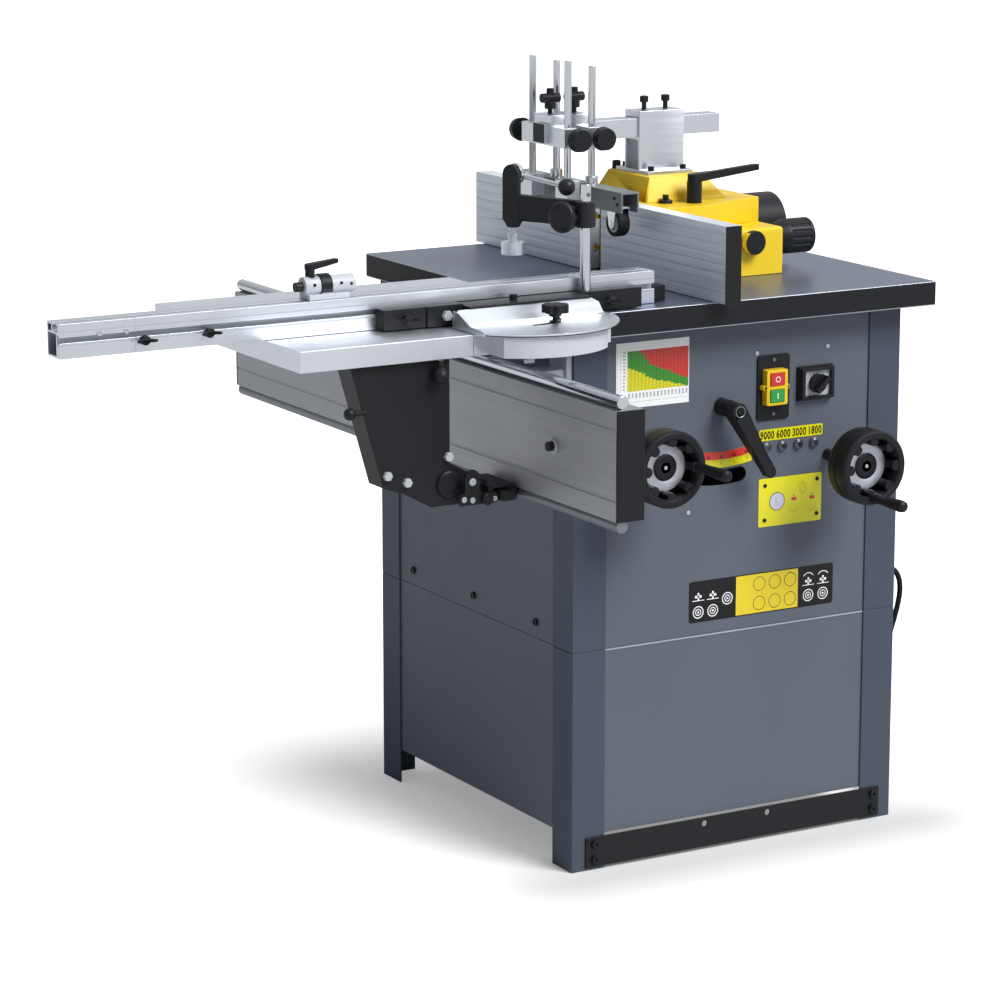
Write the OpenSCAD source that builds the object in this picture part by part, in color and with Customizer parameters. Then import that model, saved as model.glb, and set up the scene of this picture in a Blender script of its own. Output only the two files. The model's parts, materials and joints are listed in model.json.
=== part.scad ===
// Spindle moulder with a sliding table, in millimetres, +Z up, control panel towards -Y.
// Places are given from the cabinet's front left foot; at_foot() then moves them so that
// the origin lies on the floor under the middle of the whole machine.

/* [Cabinet] */
// Width of the cabinet over its corner posts
cab_w = 602; // [580:1:640]
// Depth of the cabinet over its corner posts
cab_d = 613; // [600:1:660]
// Height of the cabinet, floor to underside of the table
cab_h = 842; // [830:1:860]
// Height of the lower stand
stand_h = 350; // [300:1:400]
// Width of each flange of a corner post
post_w = 59; // [50:1:64]
// Thickness of the corner posts
post_t = 3; // [2:0.5:4]
// Thickness of the panels
sheet_t = 2; // [1.5:0.5:3]
// Gap under the lower panels
panel_gap = 56; // [40:1:80]

/* [Table] */
// Width of the cast table
table_w = 638; // [625:1:660]
// Depth of the cast table
table_d = 705; // [690:1:730]
// Height of the table's rim
table_t = 38; // [32:1:44]
// Thickness of the table's plate
table_plate_t = 14; // [12:1:18]
// Overhang of the table past the cabinet's front
table_front = 44; // [30:1:50]
// Overhang of the table past the cabinet's left side
table_left = 1; // [0:0.5:2]
// Spindle axis from the cabinet's left side
spindle_x = 300; // [295:1:305]
// Spindle axis from the cabinet's front
spindle_y = 308; // [304:1:312]
// Radius of the opening around the spindle
table_bore_r = 90; // [88:1:94]
// Radius of the recess for the insert rings
ring_r = 108; // [104:1:112]
// Inner radius of the inner insert ring
ring_bore_r = 62; // [60:1:66]
// Thickness of the insert rings
ring_t = 6; // [5:0.5:8]

/* [Spindle] */
// Radius of the spindle
spindle_r = 15; // [12.5:0.5:15]
// Height of the spindle's top over the floor
spindle_top = 935; // [925:1:938]
// Radius of the spacing collars
collar_r = 23; // [20:0.5:23]
// Radius of the quill's barrel
quill_r = 42; // [38:1:44]
// Radius of the belt pulleys
pulley_r = 30; // [26:1:31]
// Radius of the motor
motor_r = 62; // [55:1:64]
// Length of the motor's casing
motor_l = 140; // [120:1:150]
// Tilt pivot from the cabinet's left side
tilt_x = 268.6; // [266:0.2:272]
// Height of the tilt pivot over the floor
tilt_z = 897.1; // [894:0.1:899]
// Outer radius of the curved tilt rails
rail_r = 175; // [172:1:178]

/* [Handwheels] */
// Outer radius of a handwheel
wheel_r = 59; // [50:1:62]
// Depth of a handwheel's rim
wheel_rim = 28; // [20:1:30]
// Distance of the wheel's hub face from the cabinet's front
wheel_out = 100; // [90:1:110]
// Radius of a handwheel's shaft
wheel_shaft_r = 9; // [8:0.5:10]
// Length of a handwheel's handle
handle_l = 78; // [60:1:100]
// Radius of the curved slot for the left shaft
slot_r = 301; // [300:0.5:302]
// Width of the curved slot
slot_w = 23.5; // [22:0.5:26]
// Tilt wheel's axis from the cabinet's left side
tilt_wheel_x = 468; // [460:1:480]
// Height of the tilt wheel's axis
tilt_wheel_z = 612; // [604:1:620]
// Tilt lock's axis from the cabinet's left side
lock_x = 267; // [262:1:272]
// Height of the tilt lock's axis
lock_z = 708; // [704:1:712]
// Length of the tilt lock's lever
lock_l = 119; // [105:1:122]

/* [Slide beam] */
// Length of the slide beam
beam_l = 1200; // [1150:10:1300]
// Height of the slide beam
beam_h = 158; // [150:1:164]
// Width of the slide beam
beam_w = 45; // [40:1:50]
// Distance of the beam's right face from the cabinet
beam_gap = 120; // [110:1:125]
// Height of the beam's underside
beam_z = 650; // [645:1:655]
// Distance of the beam's front end before the cabinet
beam_front = 386; // [370:1:400]
// Radius of the guide rods
rod_r = 9.5; // [8:0.5:10]

/* [Sliding table] */
// Width of the sliding table
slide_w = 510; // [480:1:530]
// Length of the sliding table
slide_l = 484; // [470:1:500]
// Height of the sliding table's rim
slide_t = 31; // [28:1:33]
// Distance of the sliding table's front edge before the cabinet
slide_front = 111; // [108:1:116]
// Running gap between the two tables
slide_gap = 3; // [2:0.5:5]

/* [Mitre fence] */
// Length of the mitre rail
fence_l = 854; // [800:1:900]
// Height of the mitre rail
fence_h = 49; // [45:1:50]
// Depth of the mitre rail
fence_t = 43; // [38:1:44]
// Right end of the mitre rail
fence_right = 138; // [134:1:142]
// Length of the rail's extension
extension_l = 114; // [90:1:140]
// Mitre pivot from the cabinet's left side
pivot_x = -122; // [-124:1:-120]
// Mitre pivot from the cabinet's front
pivot_y = -45; // [-46:1:-44]
// Radius of the mitre flange
flange_r = 140; // [136:1:142]

/* [Hold-down clamp] */
// Clamp column from the cabinet's left side
column_x = 8; // [6:1:12]
// Clamp column from the cabinet's front
column_y = -18; // [-19:1:-16]
// Radius of the clamp column
column_r = 8; // [7:0.5:8.5]
// Height of the clamp column's top
column_top = 1071; // [1068:1:1090]
// Reach of the clamp arm
arm_l = 136; // [130:1:160]
// Direction of the clamp arm, from +X
arm_dir = 111.7; // [105:0.1:120]
// Length of the cam lever, pivot to ball
lever_l = 98; // [90:1:125]
// Radius of the cam lever's ball
ball_r = 13; // [11:0.5:14]

/* [Fence and hood] */
// Left face of the fence from the cabinet's left side
face_x = 220; // [216:1:222]
// Thickness of a fence plate
face_t = 29; // [26:0.5:29]
// Height of a fence plate
face_h = 118; // [110:1:120]
// Length of the front fence plate
face_front_l = 357; // [340:1:370]
// Length of the rear fence plate
face_rear_l = 349; // [330:1:360]
// Gap between the plates at the cutter
face_gap = 50; // [50:1:80]
// Right face of the hood from the cabinet's left side
hood_right = 475; // [470:1:480]
// Wall of the hood
hood_wall = 5; // [4:0.5:6]
// Outer radius of the dust port
port_r = 50; // [46:1:52]
// Length of the dust port
port_l = 85; // [70:1:100]

/* [Pressure device] */
// Width of the cross bar
bar_w = 35; // [32:1:36]
// Height of the cross bar
bar_h = 30; // [28:1:30]
// Length of the cross bar
bar_l = 328; // [320:1:370]
// Left end of the cross bar
bar_left = 120; // [118:1:122]
// Height of the cross bar's underside
bar_z = 1092; // [1090:1:1096]
// Distance between the two rods of a pair
pair_w = 107; // [100:1:110]
// Radius of the pressure rods
press_rod_r = 6; // [5:0.5:6.5]
// Length of the left pair of rods
shoe_rod_l = 217; // [210:1:240]
// Length of the right pair of rods
roller_rod_l = 196; // [190:1:220]
// Radius of a pressure roller
roller_r = 21; // [18:0.5:25]

/* [Mains lead] */
// Diameter of the mains lead
lead_d = 9; // [8:0.5:9.5]
// Turns in each layer of the coil
coil_turns = 2; // [1:1:3]

/* [Hidden] */
$fn = 48;
eps = 0.3;
fit = 0.05;
table_top = cab_h + table_t;
table_right = table_w - table_left;
table_back = table_d - table_front;
panel_y = post_t;
beam_right = -beam_gap;
beam_left = beam_right - beam_w;
beam_top = beam_z + beam_h;
beam_back = beam_l - beam_front;
cap_t = 4;
rod_x = beam_left + 11;
rod_top_z = beam_top + rod_r + 1.5;
rod_low_z = beam_z - rod_r + 2.5;
slide_right = -table_left - slide_gap;
slide_left = slide_right - slide_w;
slide_z = table_top - slide_t;
fence_left = fence_right - fence_l;
fence_y = -5;
fence_z = table_top + 1;
fence_top = fence_z + fence_h;
extension_left = fence_left - extension_l;
shift_x = -(extension_left + table_right) / 2;
shift_y = -(beam_back - beam_front) / 2;
height_x = tilt_x - 169.6;
height_z = tilt_z - sqrt(slot_r * slot_r - 169.6 * 169.6);
slot_left_a = -38;
slot_right_a = 6.6;
face_z = table_top + 1;
face_top = face_z + face_h;
face_back = face_x + face_t;
cut_front = spindle_y - face_gap / 2;
cut_rear = spindle_y + face_gap / 2;
quill_low = spindle_top - 383;
pulley_z = quill_low - 37;
motor_y = cab_d - 78;
roof_z = face_top - 5;
hood_top = roof_z + 40;
block_half_y = 73;
infeed_front = spindle_y - 166;
infeed_back = spindle_y - 94;
infeed_top = table_top + 75;
post_l = 84;
post_x = spindle_x - 7;
press_y1 = spindle_y - pair_w / 2;
press_y2 = spindle_y + pair_w / 2;
shoe_x = bar_left + 21;
roller_x = shoe_x + 44;
block_top = bar_z + bar_h + 14;
channel_z = 996;
axle_z = channel_z - 19;

steel_dark = "#485062";
steel_grey = "#656d78";
black = "#2a2b2e";
iron = "#6f7482";
alu = "#e2e5ea";
yellow = "#f5c92f";

// Helpers
module at_foot() translate([shift_x, shift_y, 0]) children();
module box(a, b) translate(a) cube(b - a);
module rod_x(p, l, r) translate(p) rotate([0, 90, 0]) cylinder(r = r, h = l);
module rod_y(p, l, r) translate(p) rotate([-90, 0, 0]) cylinder(r = r, h = l);
module rod_z(p, l, r) translate(p) cylinder(r = r, h = l);
// Profile in the YZ plane, carried along +X
module along_x(l) rotate([90, 0, 90]) linear_extrude(l) children();
// Profile in the XZ plane, carried along +Y from y
module along_y(y, l) translate([0, y + l, 0]) rotate([90, 0, 0]) linear_extrude(l) children();
// Sector of a flat ring around the tilt pivot, in the XZ plane, angles from straight down
module sector(r1, r2, a1, a2) translate([tilt_x, tilt_z]) intersection() {
    difference() {
        circle(r = r2, $fn = 180);
        circle(r = r1, $fn = 180);
    }
    polygon([[0, 0], for (i = [0:4]) let (a = a1 + (a2 - a1) * i / 4)
        [2 * r2 * sin(a), -2 * r2 * cos(a)]]);
}
// A point on a circle around the tilt pivot, at an angle from straight down
function on_arc(r, a) = [tilt_x + r * sin(a), tilt_z - r * cos(a)];
// Round clamping knob with scalloped edge, its stem along -Z
module lobed_knob(r, h, lobes) {
    difference() {
        cylinder(r = r, h = h);
        for (i = [0:lobes - 1]) rotate((i + 0.5) * 360 / lobes) translate([r * 1.12, 0, -1])
            cylinder(r = r * 0.27, h = h + 2, $fn = 24);
    }
    translate([0, 0, -h * 0.5]) cylinder(r = r * 0.45, h = h * 0.55);
}
// Wing nut on a stem along -Z
module wing_nut(r) {
    cylinder(r = r, h = 8);
    translate([0, 2, 0]) rotate([90, 0, 0]) linear_extrude(4)
        polygon([[-r - 1, 5], [r + 1, 5], [r * 2.3, 13], [r * 1.6, 16], [r * 0.5, 8.5], [-r * 0.5, 8.5], [-r * 1.6, 16], [-r * 2.3, 13]]);
}
// Ball on a stem along -Z, its middle at the origin
module ball(r) rotate_extrude() difference() {
    circle(r = r);
    translate([-2 * r, -r]) square([2 * r, 2 * r]);
}
module cap_screw(r, h) {
    difference() {
        cylinder(r = r, h = h);
        translate([0, 0, h / 2]) cylinder(r = r * 0.5, h = h, $fn = 6);
    }
}

// Cabinet
module post_part(z1, z2) for (sx = [0, 1], sy = [0, 1])
    translate([sx * cab_w, sy * cab_d, z1]) mirror([sx, 0, 0]) mirror([0, sy, 0]) {
        cube([post_w, post_t, z2 - z1]);
        cube([post_t, post_w, z2 - z1]);
    }
module corner_posts() at_foot() color(steel_dark) {
    post_part(0, stand_h - 0.5);
    post_part(stand_h, cab_h);
}
// Flat panel behind the posts, with a stiffening flange turned inwards at its top
module side_sheet(z1, z2, flange) {
    box([post_t, 12, z1], [post_t + sheet_t, cab_d - 12, z2]);
    box([post_t, 70, z2 - sheet_t], [post_t + flange, cab_d - 70, z2]);
}
module end_sheet(z1, z2, flange) {
    box([12, post_t, z1], [cab_w - 12, post_t + sheet_t, z2]);
    box([70, post_t, z2 - sheet_t], [cab_w - 70, post_t + flange, z2]);
}
gland_y = 76;
gland_z = 393;
module cabinet_panels() at_foot() color(steel_grey) {
    for (lower = [0, 1]) let (z1 = lower ? panel_gap : stand_h, z2 = lower ? stand_h - 0.5 : cab_h) {
        side_sheet(z1, z2, 30);
        difference() {
            translate([cab_w, 0, 0]) mirror([1, 0, 0]) side_sheet(z1, z2, 30);
            rod_x([cab_w - 10, gland_y, gland_z], 20, 10);
        }
        difference() {
            translate([0, cab_d, 0]) mirror([0, 1, 0]) end_sheet(z1, z2, 30);
            if (!lower) for (i = [0:5])
                box([spindle_x - 60, cab_d - 12, 430 + 18 * i], [spindle_x + 60, cab_d, 436 + 18 * i]);
        }
        if (lower) end_sheet(z1, z2, 30);
    }
}
module front_panel() at_foot() color(steel_grey) {
    difference() {
        end_sheet(stand_h, cab_h, 30);
        along_y(-1, 20) sector(slot_r - slot_w / 2, slot_r + slot_w / 2, slot_left_a, slot_right_a);
        for (a = [slot_left_a, slot_right_a]) let (p = on_arc(slot_r, a))
            rod_y([p[0], -1, p[1]], 20, slot_w / 2);
        rod_y([lock_x, -1, lock_z], 20, 13.5);
        rod_y([tilt_wheel_x, -1, tilt_wheel_z], 20, wheel_shaft_r + fit);
        for (x = lamp_x) rod_y([x, -1, lamp_z], 20, 5.5);
    }
    difference() {
        rod_y([tilt_wheel_x, panel_y + sheet_t, tilt_wheel_z], 40, 18);
        rod_y([tilt_wheel_x, -1, tilt_wheel_z], 60, wheel_shaft_r + fit);
    }
}
module foot_bar() at_foot() color(black) difference() {
    box([24, -3, 5], [cab_w - 23, 0, 53]);
    for (x = [243, 362]) rod_y([x, -4, 42.7], 6, 5);
}
module fixed_screws() at_foot() color(black) {
    for (s = [0, 1], y = [114, 309, 508])
        translate([s ? cab_w - post_t : post_t, y, stand_h + 25]) rotate([0, s ? 90 : -90, 0])
            cap_screw(6, 4);
    for (x = [40, cab_w - 36], z = [17, 42]) translate([x, -3, z]) rotate([90, 0, 0]) cap_screw(6.5, 5);
    for (p = [[331.6, 785], [464.3, 785], [331.6, 620], [208.5, 547]])
        translate([p[0], panel_y, p[1]]) rotate([90, 0, 0]) cylinder(r = 3.5, h = 1.5);
    for (x = [post_x + 12, post_x + post_l - 12], y = [-38, 38])
        translate([x, spindle_y + y, hood_top + 6]) cap_screw(5, 7);
    for (y = [-hood_screw_y, hood_screw_y]) translate([post_x + 8, spindle_y + y, roof_z + 6]) cap_screw(5, 8);
    rod_x([cab_w, 30, 625], 12, 8);
}

// Cast table, its rings and the tilt rails bolted under it
module table() at_foot() color(iron) difference() {
    box([-table_left, -table_front, cab_h], [table_right, table_back, table_top]);
    difference() {
        box([13 - table_left, 14 - table_front, cab_h - 1],
            [table_right - 14, table_back - 14, table_top - table_plate_t]);
        for (x = [70, 520]) box([x, -table_front, cab_h - 2], [x + 12, table_back, table_top]);
        for (y = [100, 520]) box([0, y, cab_h - 2], [table_right - 5, y + 12, table_top]);
    }
    rod_z([spindle_x, spindle_y, cab_h - 1], table_t + 2, table_bore_r);
    rod_z([spindle_x, spindle_y, table_top - ring_t], ring_t + 1, ring_r);
}
ring_split = (ring_r + ring_bore_r) / 2;
module table_rings() at_foot() color(iron) translate([spindle_x, spindle_y, table_top - ring_t])
    for (r = [[ring_r - 0.2, ring_split], [ring_split - 0.4, ring_bore_r]]) difference() {
        cylinder(r = r[0], h = ring_t, $fn = 96);
        translate([0, 0, -1]) cylinder(r = r[1], h = ring_t + 2, $fn = 96);
    }
rail_t = 15;
rail_front_y = 165;
rail_rear_y = 440;
module trunnion_rails() at_foot() color(iron) for (y = [rail_front_y, rail_rear_y]) intersection() {
    along_y(y, rail_t) sector(rail_r - 25, rail_r, -80, 80);
    box([0, 0, 0], [cab_w, cab_d, table_top - table_plate_t]);
}

// Controls on the front panel
lamp_x = [351, 381, 411, 441];
lamp_z = 635;
switch_x = 361;
switch_z = 731;
selector_x = 440;
button_w = 27;
button_h = 20;
module switch_box() at_foot() color(black) {
    along_y(0, panel_y) translate([switch_x + 1, switch_z - 1.5]) offset(6) square([48, 91], center = true);
    color(yellow) difference() {
        union() {
            along_y(-12, 12) translate([switch_x, switch_z]) offset(3) square([button_w + 6, 50], center = true);
            rod_y([switch_x - 20, -10, switch_z], 10, 4.5);
            rod_y([switch_x + 20, -10, switch_z], 10, 4.5);
        }
        for (z = [-13, 13]) box([switch_x - button_w / 2, -13, switch_z + z - button_h / 2],
            [switch_x + button_w / 2, -6, switch_z + z + button_h / 2]);
    }
    difference() {
        hull() {
            box([selector_x - 34, panel_y - 1, switch_z - 29], [selector_x + 33, panel_y, switch_z + 26]);
            box([selector_x - 30, -10, switch_z - 25], [selector_x + 30, -9, switch_z + 23]);
        }
        box([selector_x - 24, -11, switch_z - 21], [selector_x + 24, -4, switch_z + 19]);
    }
    for (x = lamp_x) {
        rod_y([x, -2, lamp_z], panel_y + 2, 8);
        rod_y([x, -4, lamp_z], 24, 5.3);
    }
}
module panel_plates() at_foot() color("#e9e34a") {
    for (p = [[76, 721, 207, 822], [338, 645, 457.5, 663], [339, 508, 457.5, 585], [212, 370, 483, 435.5]])
        box([p[0], panel_y - 0.8, p[1]], [p[2], panel_y, p[3]]);
    along_y(panel_y - 0.8, 0.8) sector(260.2, 285.8, -31, 11.4);
}
module push_button(z) {
    box([switch_x - button_w / 2 + 0.4, -14, z - button_h / 2 + 0.4],
        [switch_x + button_w / 2 - 0.4, -10, z + button_h / 2 - 0.4]);
}
module start_button() at_foot() color("#2f9e44") push_button(switch_z - 13);
module stop_button() at_foot() color("#d2322d") push_button(switch_z + 13);
module selector_knob() at_foot() color(black) translate([selector_x, -4.3, switch_z - 1])
    rotate([90, 0, 0]) {
        cylinder(r = 15, h = 8);
        rotate(45) translate([-15, -4, 0]) cube([30, 8, 22]);
    }
module tilt_lock_lever() at_foot() color(black) {
    rod_y([lock_x, -22, lock_z], 52, 13.4);
    hull() {
        rod_y([lock_x, -50, lock_z], 28, 13);
        rod_y([lock_x + 0.45 * lock_l, -47, lock_z - 0.75 * lock_l], 17, 8);
    }
    hull() for (k = [0.86, 1])
        rod_y([lock_x + 0.52 * lock_l * k, -47, lock_z - 0.854 * lock_l * k], 16, 9);
}

// Handwheels, built around +Z and turned so that +Z points to -Y
module handwheel(shaft_in) rotate([90, 0, 0]) {
    translate([0, 0, -shaft_in]) cylinder(r = wheel_shaft_r, h = shaft_in + wheel_out - 5);
    translate([0, 0, wheel_out - 45]) cylinder(r = 17, h = 45);
    translate([0, 0, wheel_out]) cylinder(r = 12, h = 3);
    translate([0, 0, wheel_out - 12]) cylinder(r = wheel_r - 22, h = 10);
    translate([0, 0, wheel_out - 3]) cylinder(r = wheel_r - 26, h = 2.5);
    for (i = [0:7]) rotate(45 * i) translate([wheel_r - 16, 0, wheel_out - 10])
        cylinder(r = 8, h = wheel_rim + 4);
    translate([0, 0, wheel_out - 3]) rotate_extrude($fn = 96) translate([wheel_r - 13, 0])
        polygon([[2, 0], [10, 0], [13, 4], [13, wheel_rim - 4], [10, wheel_rim], [2, wheel_rim], [0, wheel_rim - 3], [0, 3]]);
    translate([handle_at, 0, wheel_out]) cylinder(r = 4, h = wheel_rim + handle_l - 14);
}
handle_at = wheel_r - 13;
// Revolved grip around its own pin, from the wheel's rim outwards
module grip() translate([0, 0, wheel_out + wheel_rim - 3 + eps]) difference() {
    rotate_extrude() polygon([[0, 0], [8, 0], [8, 8], [7, 14], [9.5, handle_l - 10],
        [8.5, handle_l - 3], [5, handle_l], [0, handle_l]]);
    translate([0, 0, -1]) cylinder(r = 4 + fit, h = handle_l - 10);
}
module height_wheel() at_foot() color(black) translate([height_x, 0, height_z])
    handwheel(rail_front_y + rail_t);
module height_handle() at_foot() color(black) translate([height_x, 0, height_z])
    rotate([90, 0, 0]) translate([handle_at, 0, 0]) grip();
module tilt_wheel() at_foot() color(black) translate([tilt_wheel_x, 0, tilt_wheel_z])
    rotate([0, 90, 0]) handwheel(panel_y + sheet_t + 45);
module tilt_handle() at_foot() color(black) translate([tilt_wheel_x, 0, tilt_wheel_z])
    rotate([0, 90, 0]) rotate([90, 0, 0]) translate([handle_at, 0, 0]) grip();

// Tilting cradle, with ways for the quill and the bearing of the height wheel's shaft
saddle_x = 190;
saddle_t = 25;
saddle_low = spindle_top - 375;
saddle_top = 715;
module tilt_cradle() at_foot() color(iron) difference() {
    union() {
        for (side = [0, 1]) let (y = side ? rail_rear_y - 12.3 : rail_front_y + rail_t + 0.3) {
            along_y(y, 12) sector(rail_r - 35, rail_r + 20, -30, 30);
            along_y(side ? rail_rear_y - 3 : rail_front_y, rail_t + 3) sector(rail_r + eps, rail_r + 20, -30, 30);
        }
        box([saddle_x, rail_front_y + 4, saddle_low], [saddle_x + saddle_t, rail_rear_y + 11, saddle_top]);
        for (y = [228, 376.3]) box([saddle_x + saddle_t - 1, y, saddle_low], [saddle_x + 55, y + 11.4, saddle_top - 22]);
        box([height_x, rail_front_y, height_z - 25], [saddle_x + 5, rail_front_y + 14, height_z + 25]);
        rod_y([height_x, 15, height_z], rail_front_y - 1, 17);
    }
    rod_y([height_x, 0, height_z], 240, wheel_shaft_r + fit);
}
module quill() {
    quill_casting();
    spindle_bearings();
}
module spindle_bearings() at_foot() color("#b9bec6") for (z = [1, 177]) difference() {
    rod_z([spindle_x, spindle_y, quill_low + z], 20, spindle_r + 10.9);
    rod_z([spindle_x, spindle_y, quill_low + z - 1], 22, spindle_r + fit);
}
module quill_casting() at_foot() color("#8a9099") difference() {
    union() {
        rod_z([spindle_x, spindle_y, quill_low], 148, quill_r);
        rod_z([spindle_x, spindle_y, quill_low + 148], 50, quill_r - 6);
        box([saddle_x + saddle_t + eps, 239.8, saddle_low + 30], [saddle_x + 42, 375.9, saddle_low + 125]);
        box([saddle_x + 40, 280, saddle_low + 30], [spindle_x - 20, 336, saddle_low + 125]);
        box([spindle_x - 50, spindle_y, quill_low], [spindle_x + 50, motor_y + 55, quill_low + 8]);
    }
    rod_z([spindle_x, spindle_y, quill_low - 1], 200, spindle_r + 1);
    for (z = [-1, 176]) rod_z([spindle_x, spindle_y, quill_low + z], 23, spindle_r + 11);
    rod_z([spindle_x, motor_y, quill_low - 1], 10, 10);
}
module motor() at_foot() color("#5b6068") difference() {
    rod_z([spindle_x, motor_y, quill_low + 8], motor_l, motor_r);
    rod_z([spindle_x, motor_y, quill_low + 7], 40, motor_shaft_r + fit);
    for (i = [0:11]) rotate_about(spindle_x, motor_y, 30 * i)
        box([motor_r - 5, -4, quill_low + 30], [motor_r + 5, 4, quill_low + motor_l - 15]);
}
motor_shaft_r = 9.5;
module rotate_about(x, y, a) translate([x, y, 0]) rotate(a) children();
module belt_loop(r, h) {
    for (y = [spindle_y, motor_y]) rod_z([spindle_x, y, 0], h, r);
    box([spindle_x - r, spindle_y, 0], [spindle_x + r, motor_y, h]);
}
module drive_belt() at_foot() color(black) translate([0, 0, pulley_z + 5]) difference() {
    belt_loop(pulley_r + 3.5, 23);
    translate([0, 0, -1]) belt_loop(pulley_r + eps, 25);
}
module pulley() difference() {
    union() {
        cylinder(r = pulley_r, h = 32);
        for (z = [0, 29.5]) translate([0, 0, z]) cylinder(r = pulley_r + 2, h = 2.5);
    }
    for (z = [10, 16, 22]) translate([0, 0, z]) rotate_extrude()
        polygon([[pulley_r - 3, 0], [pulley_r + 3, -2], [pulley_r + 3, 2]]);
}
module spindle() at_foot() color("#b9bec6") translate([spindle_x, spindle_y, 0]) {
    translate([0, 0, pulley_z]) pulley();
    rod_z([0, 0, pulley_z], spindle_top - pulley_z, spindle_r);
    rod_z([0, 0, spindle_top - 165], 12, collar_r);
    for (i = [0:3]) rod_z([0, 0, spindle_top - 70 + 12 * i], 11.6, collar_r - (i % 2));
    rod_z([0, 0, spindle_top - 18], 12, spindle_r + 4);
}
module motor_pulley() at_foot() color("#b9bec6") translate([spindle_x, motor_y, 0]) {
    translate([0, 0, pulley_z]) pulley();
    rod_z([0, 0, pulley_z], quill_low - pulley_z + 40, motor_shaft_r);
}

// Slide beam on the left of the cabinet
module beam() at_foot() color("#9aa1ab") translate([0, -beam_front, 0]) rotate([90, 0, 180])
    mirror([1, 0, 0]) linear_extrude(beam_l) difference() {
        union() {
            translate([beam_left, beam_z]) square([beam_w, beam_h]);
            translate([rod_x - 4, beam_top - 1]) square([8, 2.2]);
        }
        translate([beam_left + 5, beam_z + 5]) square([beam_w - 10, beam_h / 2 - 8]);
        translate([beam_left + 5, beam_z + beam_h / 2 + 3]) square([beam_w - 10, beam_h / 2 - 8]);
        translate([rod_x, rod_low_z]) circle(r = rod_r + 0.2);
        for (z = [0.18, 0.82]) translate([beam_left - 1, beam_z + z * beam_h]) square([2, 3]);
    }
module beam_rods() at_foot() color("#c9ced6") for (z = [rod_top_z, rod_low_z])
    rod_y([rod_x, -beam_front, z], beam_l, rod_r);
module beam_caps() at_foot() color(black) {
    for (y = [-beam_front - cap_t, beam_back])
        box([beam_left, y, beam_z], [beam_right, y + cap_t, beam_top]);
    translate([beam_left, -219, 730]) rotate([0, -90, 0]) {
        cylinder(r = 11, h = 3);
        cylinder(r = 7, h = 12);
    }
}
module beam_bracket(y) {
    box([-10, y, 690], [0, y + 50, 815]);
    difference() {
        box([beam_right, y + 6, 735], [-5, y + 44, 790]);
        box([beam_right - 1, y + 10, 739], [-9, y + 40, 786]);
    }
    box([beam_right, y - 8, 700], [beam_right + 8, y + 58, 800]);
}
module beam_brackets() at_foot() color("#c4c8cf") {
    beam_bracket(5);
    beam_bracket(cab_d - 55);
}

// Sliding table and what hangs under it
module sliding_table() at_foot() color(alu) difference() {
    box([slide_left, -slide_front, slide_z], [slide_right, slide_l - slide_front, table_top]);
    difference() {
        box([slide_left + 5, -slide_front - 1, slide_z + 3],
            [slide_right - 5, slide_l - slide_front + 1, table_top - 7]);
        for (i = [1:3]) box([slide_left + i * slide_w / 6, -slide_front, slide_z],
            [slide_left + i * slide_w / 6 + 5, slide_l, table_top]);
        for (y = [-slide_front, slide_l - slide_front - 6])
            box([slide_left, y, slide_z], [slide_right, y + 6, table_top]);
    }
    box([slide_left + 25, -slide_front + 25, slide_z - 1],
        [slide_right - 25, slide_l - slide_front - 25, slide_z + 4]);
}
arm_y = -100;
module support_arm() at_foot() color(black) {
    along_y(arm_y, 4) polygon([[-430, slide_z], [-269, slide_z], [-269, 694], [-206, 661],
        [-206, 632], [-300, 632], [-344, 656], [-378, 668]]);
    box([-430, arm_y, slide_z - 4], [-269, arm_y + 60, slide_z]);
    along_x_at(-273, 4) polygon([[arm_y, slide_z], [arm_y + 60, slide_z], [arm_y + 30, 694], [arm_y, 694]]);
    along_y(arm_y + 2, 42) polygon([[-378, 668], [-374, 668], [-426, slide_z], [-430, slide_z]]);
    box([-216, arm_y - 20, 632], [-208, arm_y + 60, 656]);
    box([-216, arm_y - 20, 654], [-172, arm_y + 60, 658]);
    for (p = [[-378, 682], [-346, 669], [-278, 700]]) translate([p[0] + 6, arm_y, p[1] + 4]) rotate([90, 0, 0])
        cylinder(r = 7, h = 6, $fn = 6);
    rod_x([-430, arm_y - 2, 782], 23, 4);
    translate([-432, arm_y - 2, 782]) ball(9);
    translate([-291, arm_y - 14, 826]) ball(12);
    rod_z([-291, arm_y - 14, 832], slide_z - 832, 4);
}
module along_x_at(x, l) translate([x, 0, 0]) along_x(l) children();
module table_rollers() at_foot() color("#3a3c40") {
    for (y = [0, 262]) {
        rod_x([rod_x - 8, y, rod_top_z + rod_r + 12 + eps], 16, 12);
        rod_x([rod_x - 30, y, rod_top_z + rod_r + 12 + eps], 60, 5);
        for (x = [-30, 22]) box([rod_x + x, y - 12, rod_top_z + rod_r + 4], [rod_x + x + 8, y + 12, table_top - 7]);
    }
    for (y = [arm_y - 8, arm_y + 48]) {
        rod_z([rod_x - rod_r - 18.3, y, rod_low_z - 9], 15.5, 18);
        rod_z([rod_x - rod_r - 18.3, y, rod_low_z - 13], 24 - eps, 4);
    }
}
block_left = pivot_x - 86;
block_right = pivot_x + 92;
module mitre_block() at_foot() color(alu) {
    difference() {
        quadrant(134, slide_z, table_top);
        quadrant(131, slide_z - 1, table_top - 3, 3);
    }
    box([block_left - 28, -slide_front - 2, slide_z + 3], [block_left + 1, -slide_front, table_top - 3]);
    rod_z([-160, -140, slide_z - 8], slide_t + 6, 3);
    box([-168, -142, slide_z - 12], [-152, -138, slide_z - 6]);
}
module quadrant(r, z1, z2, inset = 0) intersection() {
    rod_z([pivot_x, pivot_y - 2, z1], z2 - z1, r);
    box([block_left + inset, pivot_y - 200, z1], [block_right - inset, -slide_front - inset, z2]);
}

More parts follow.
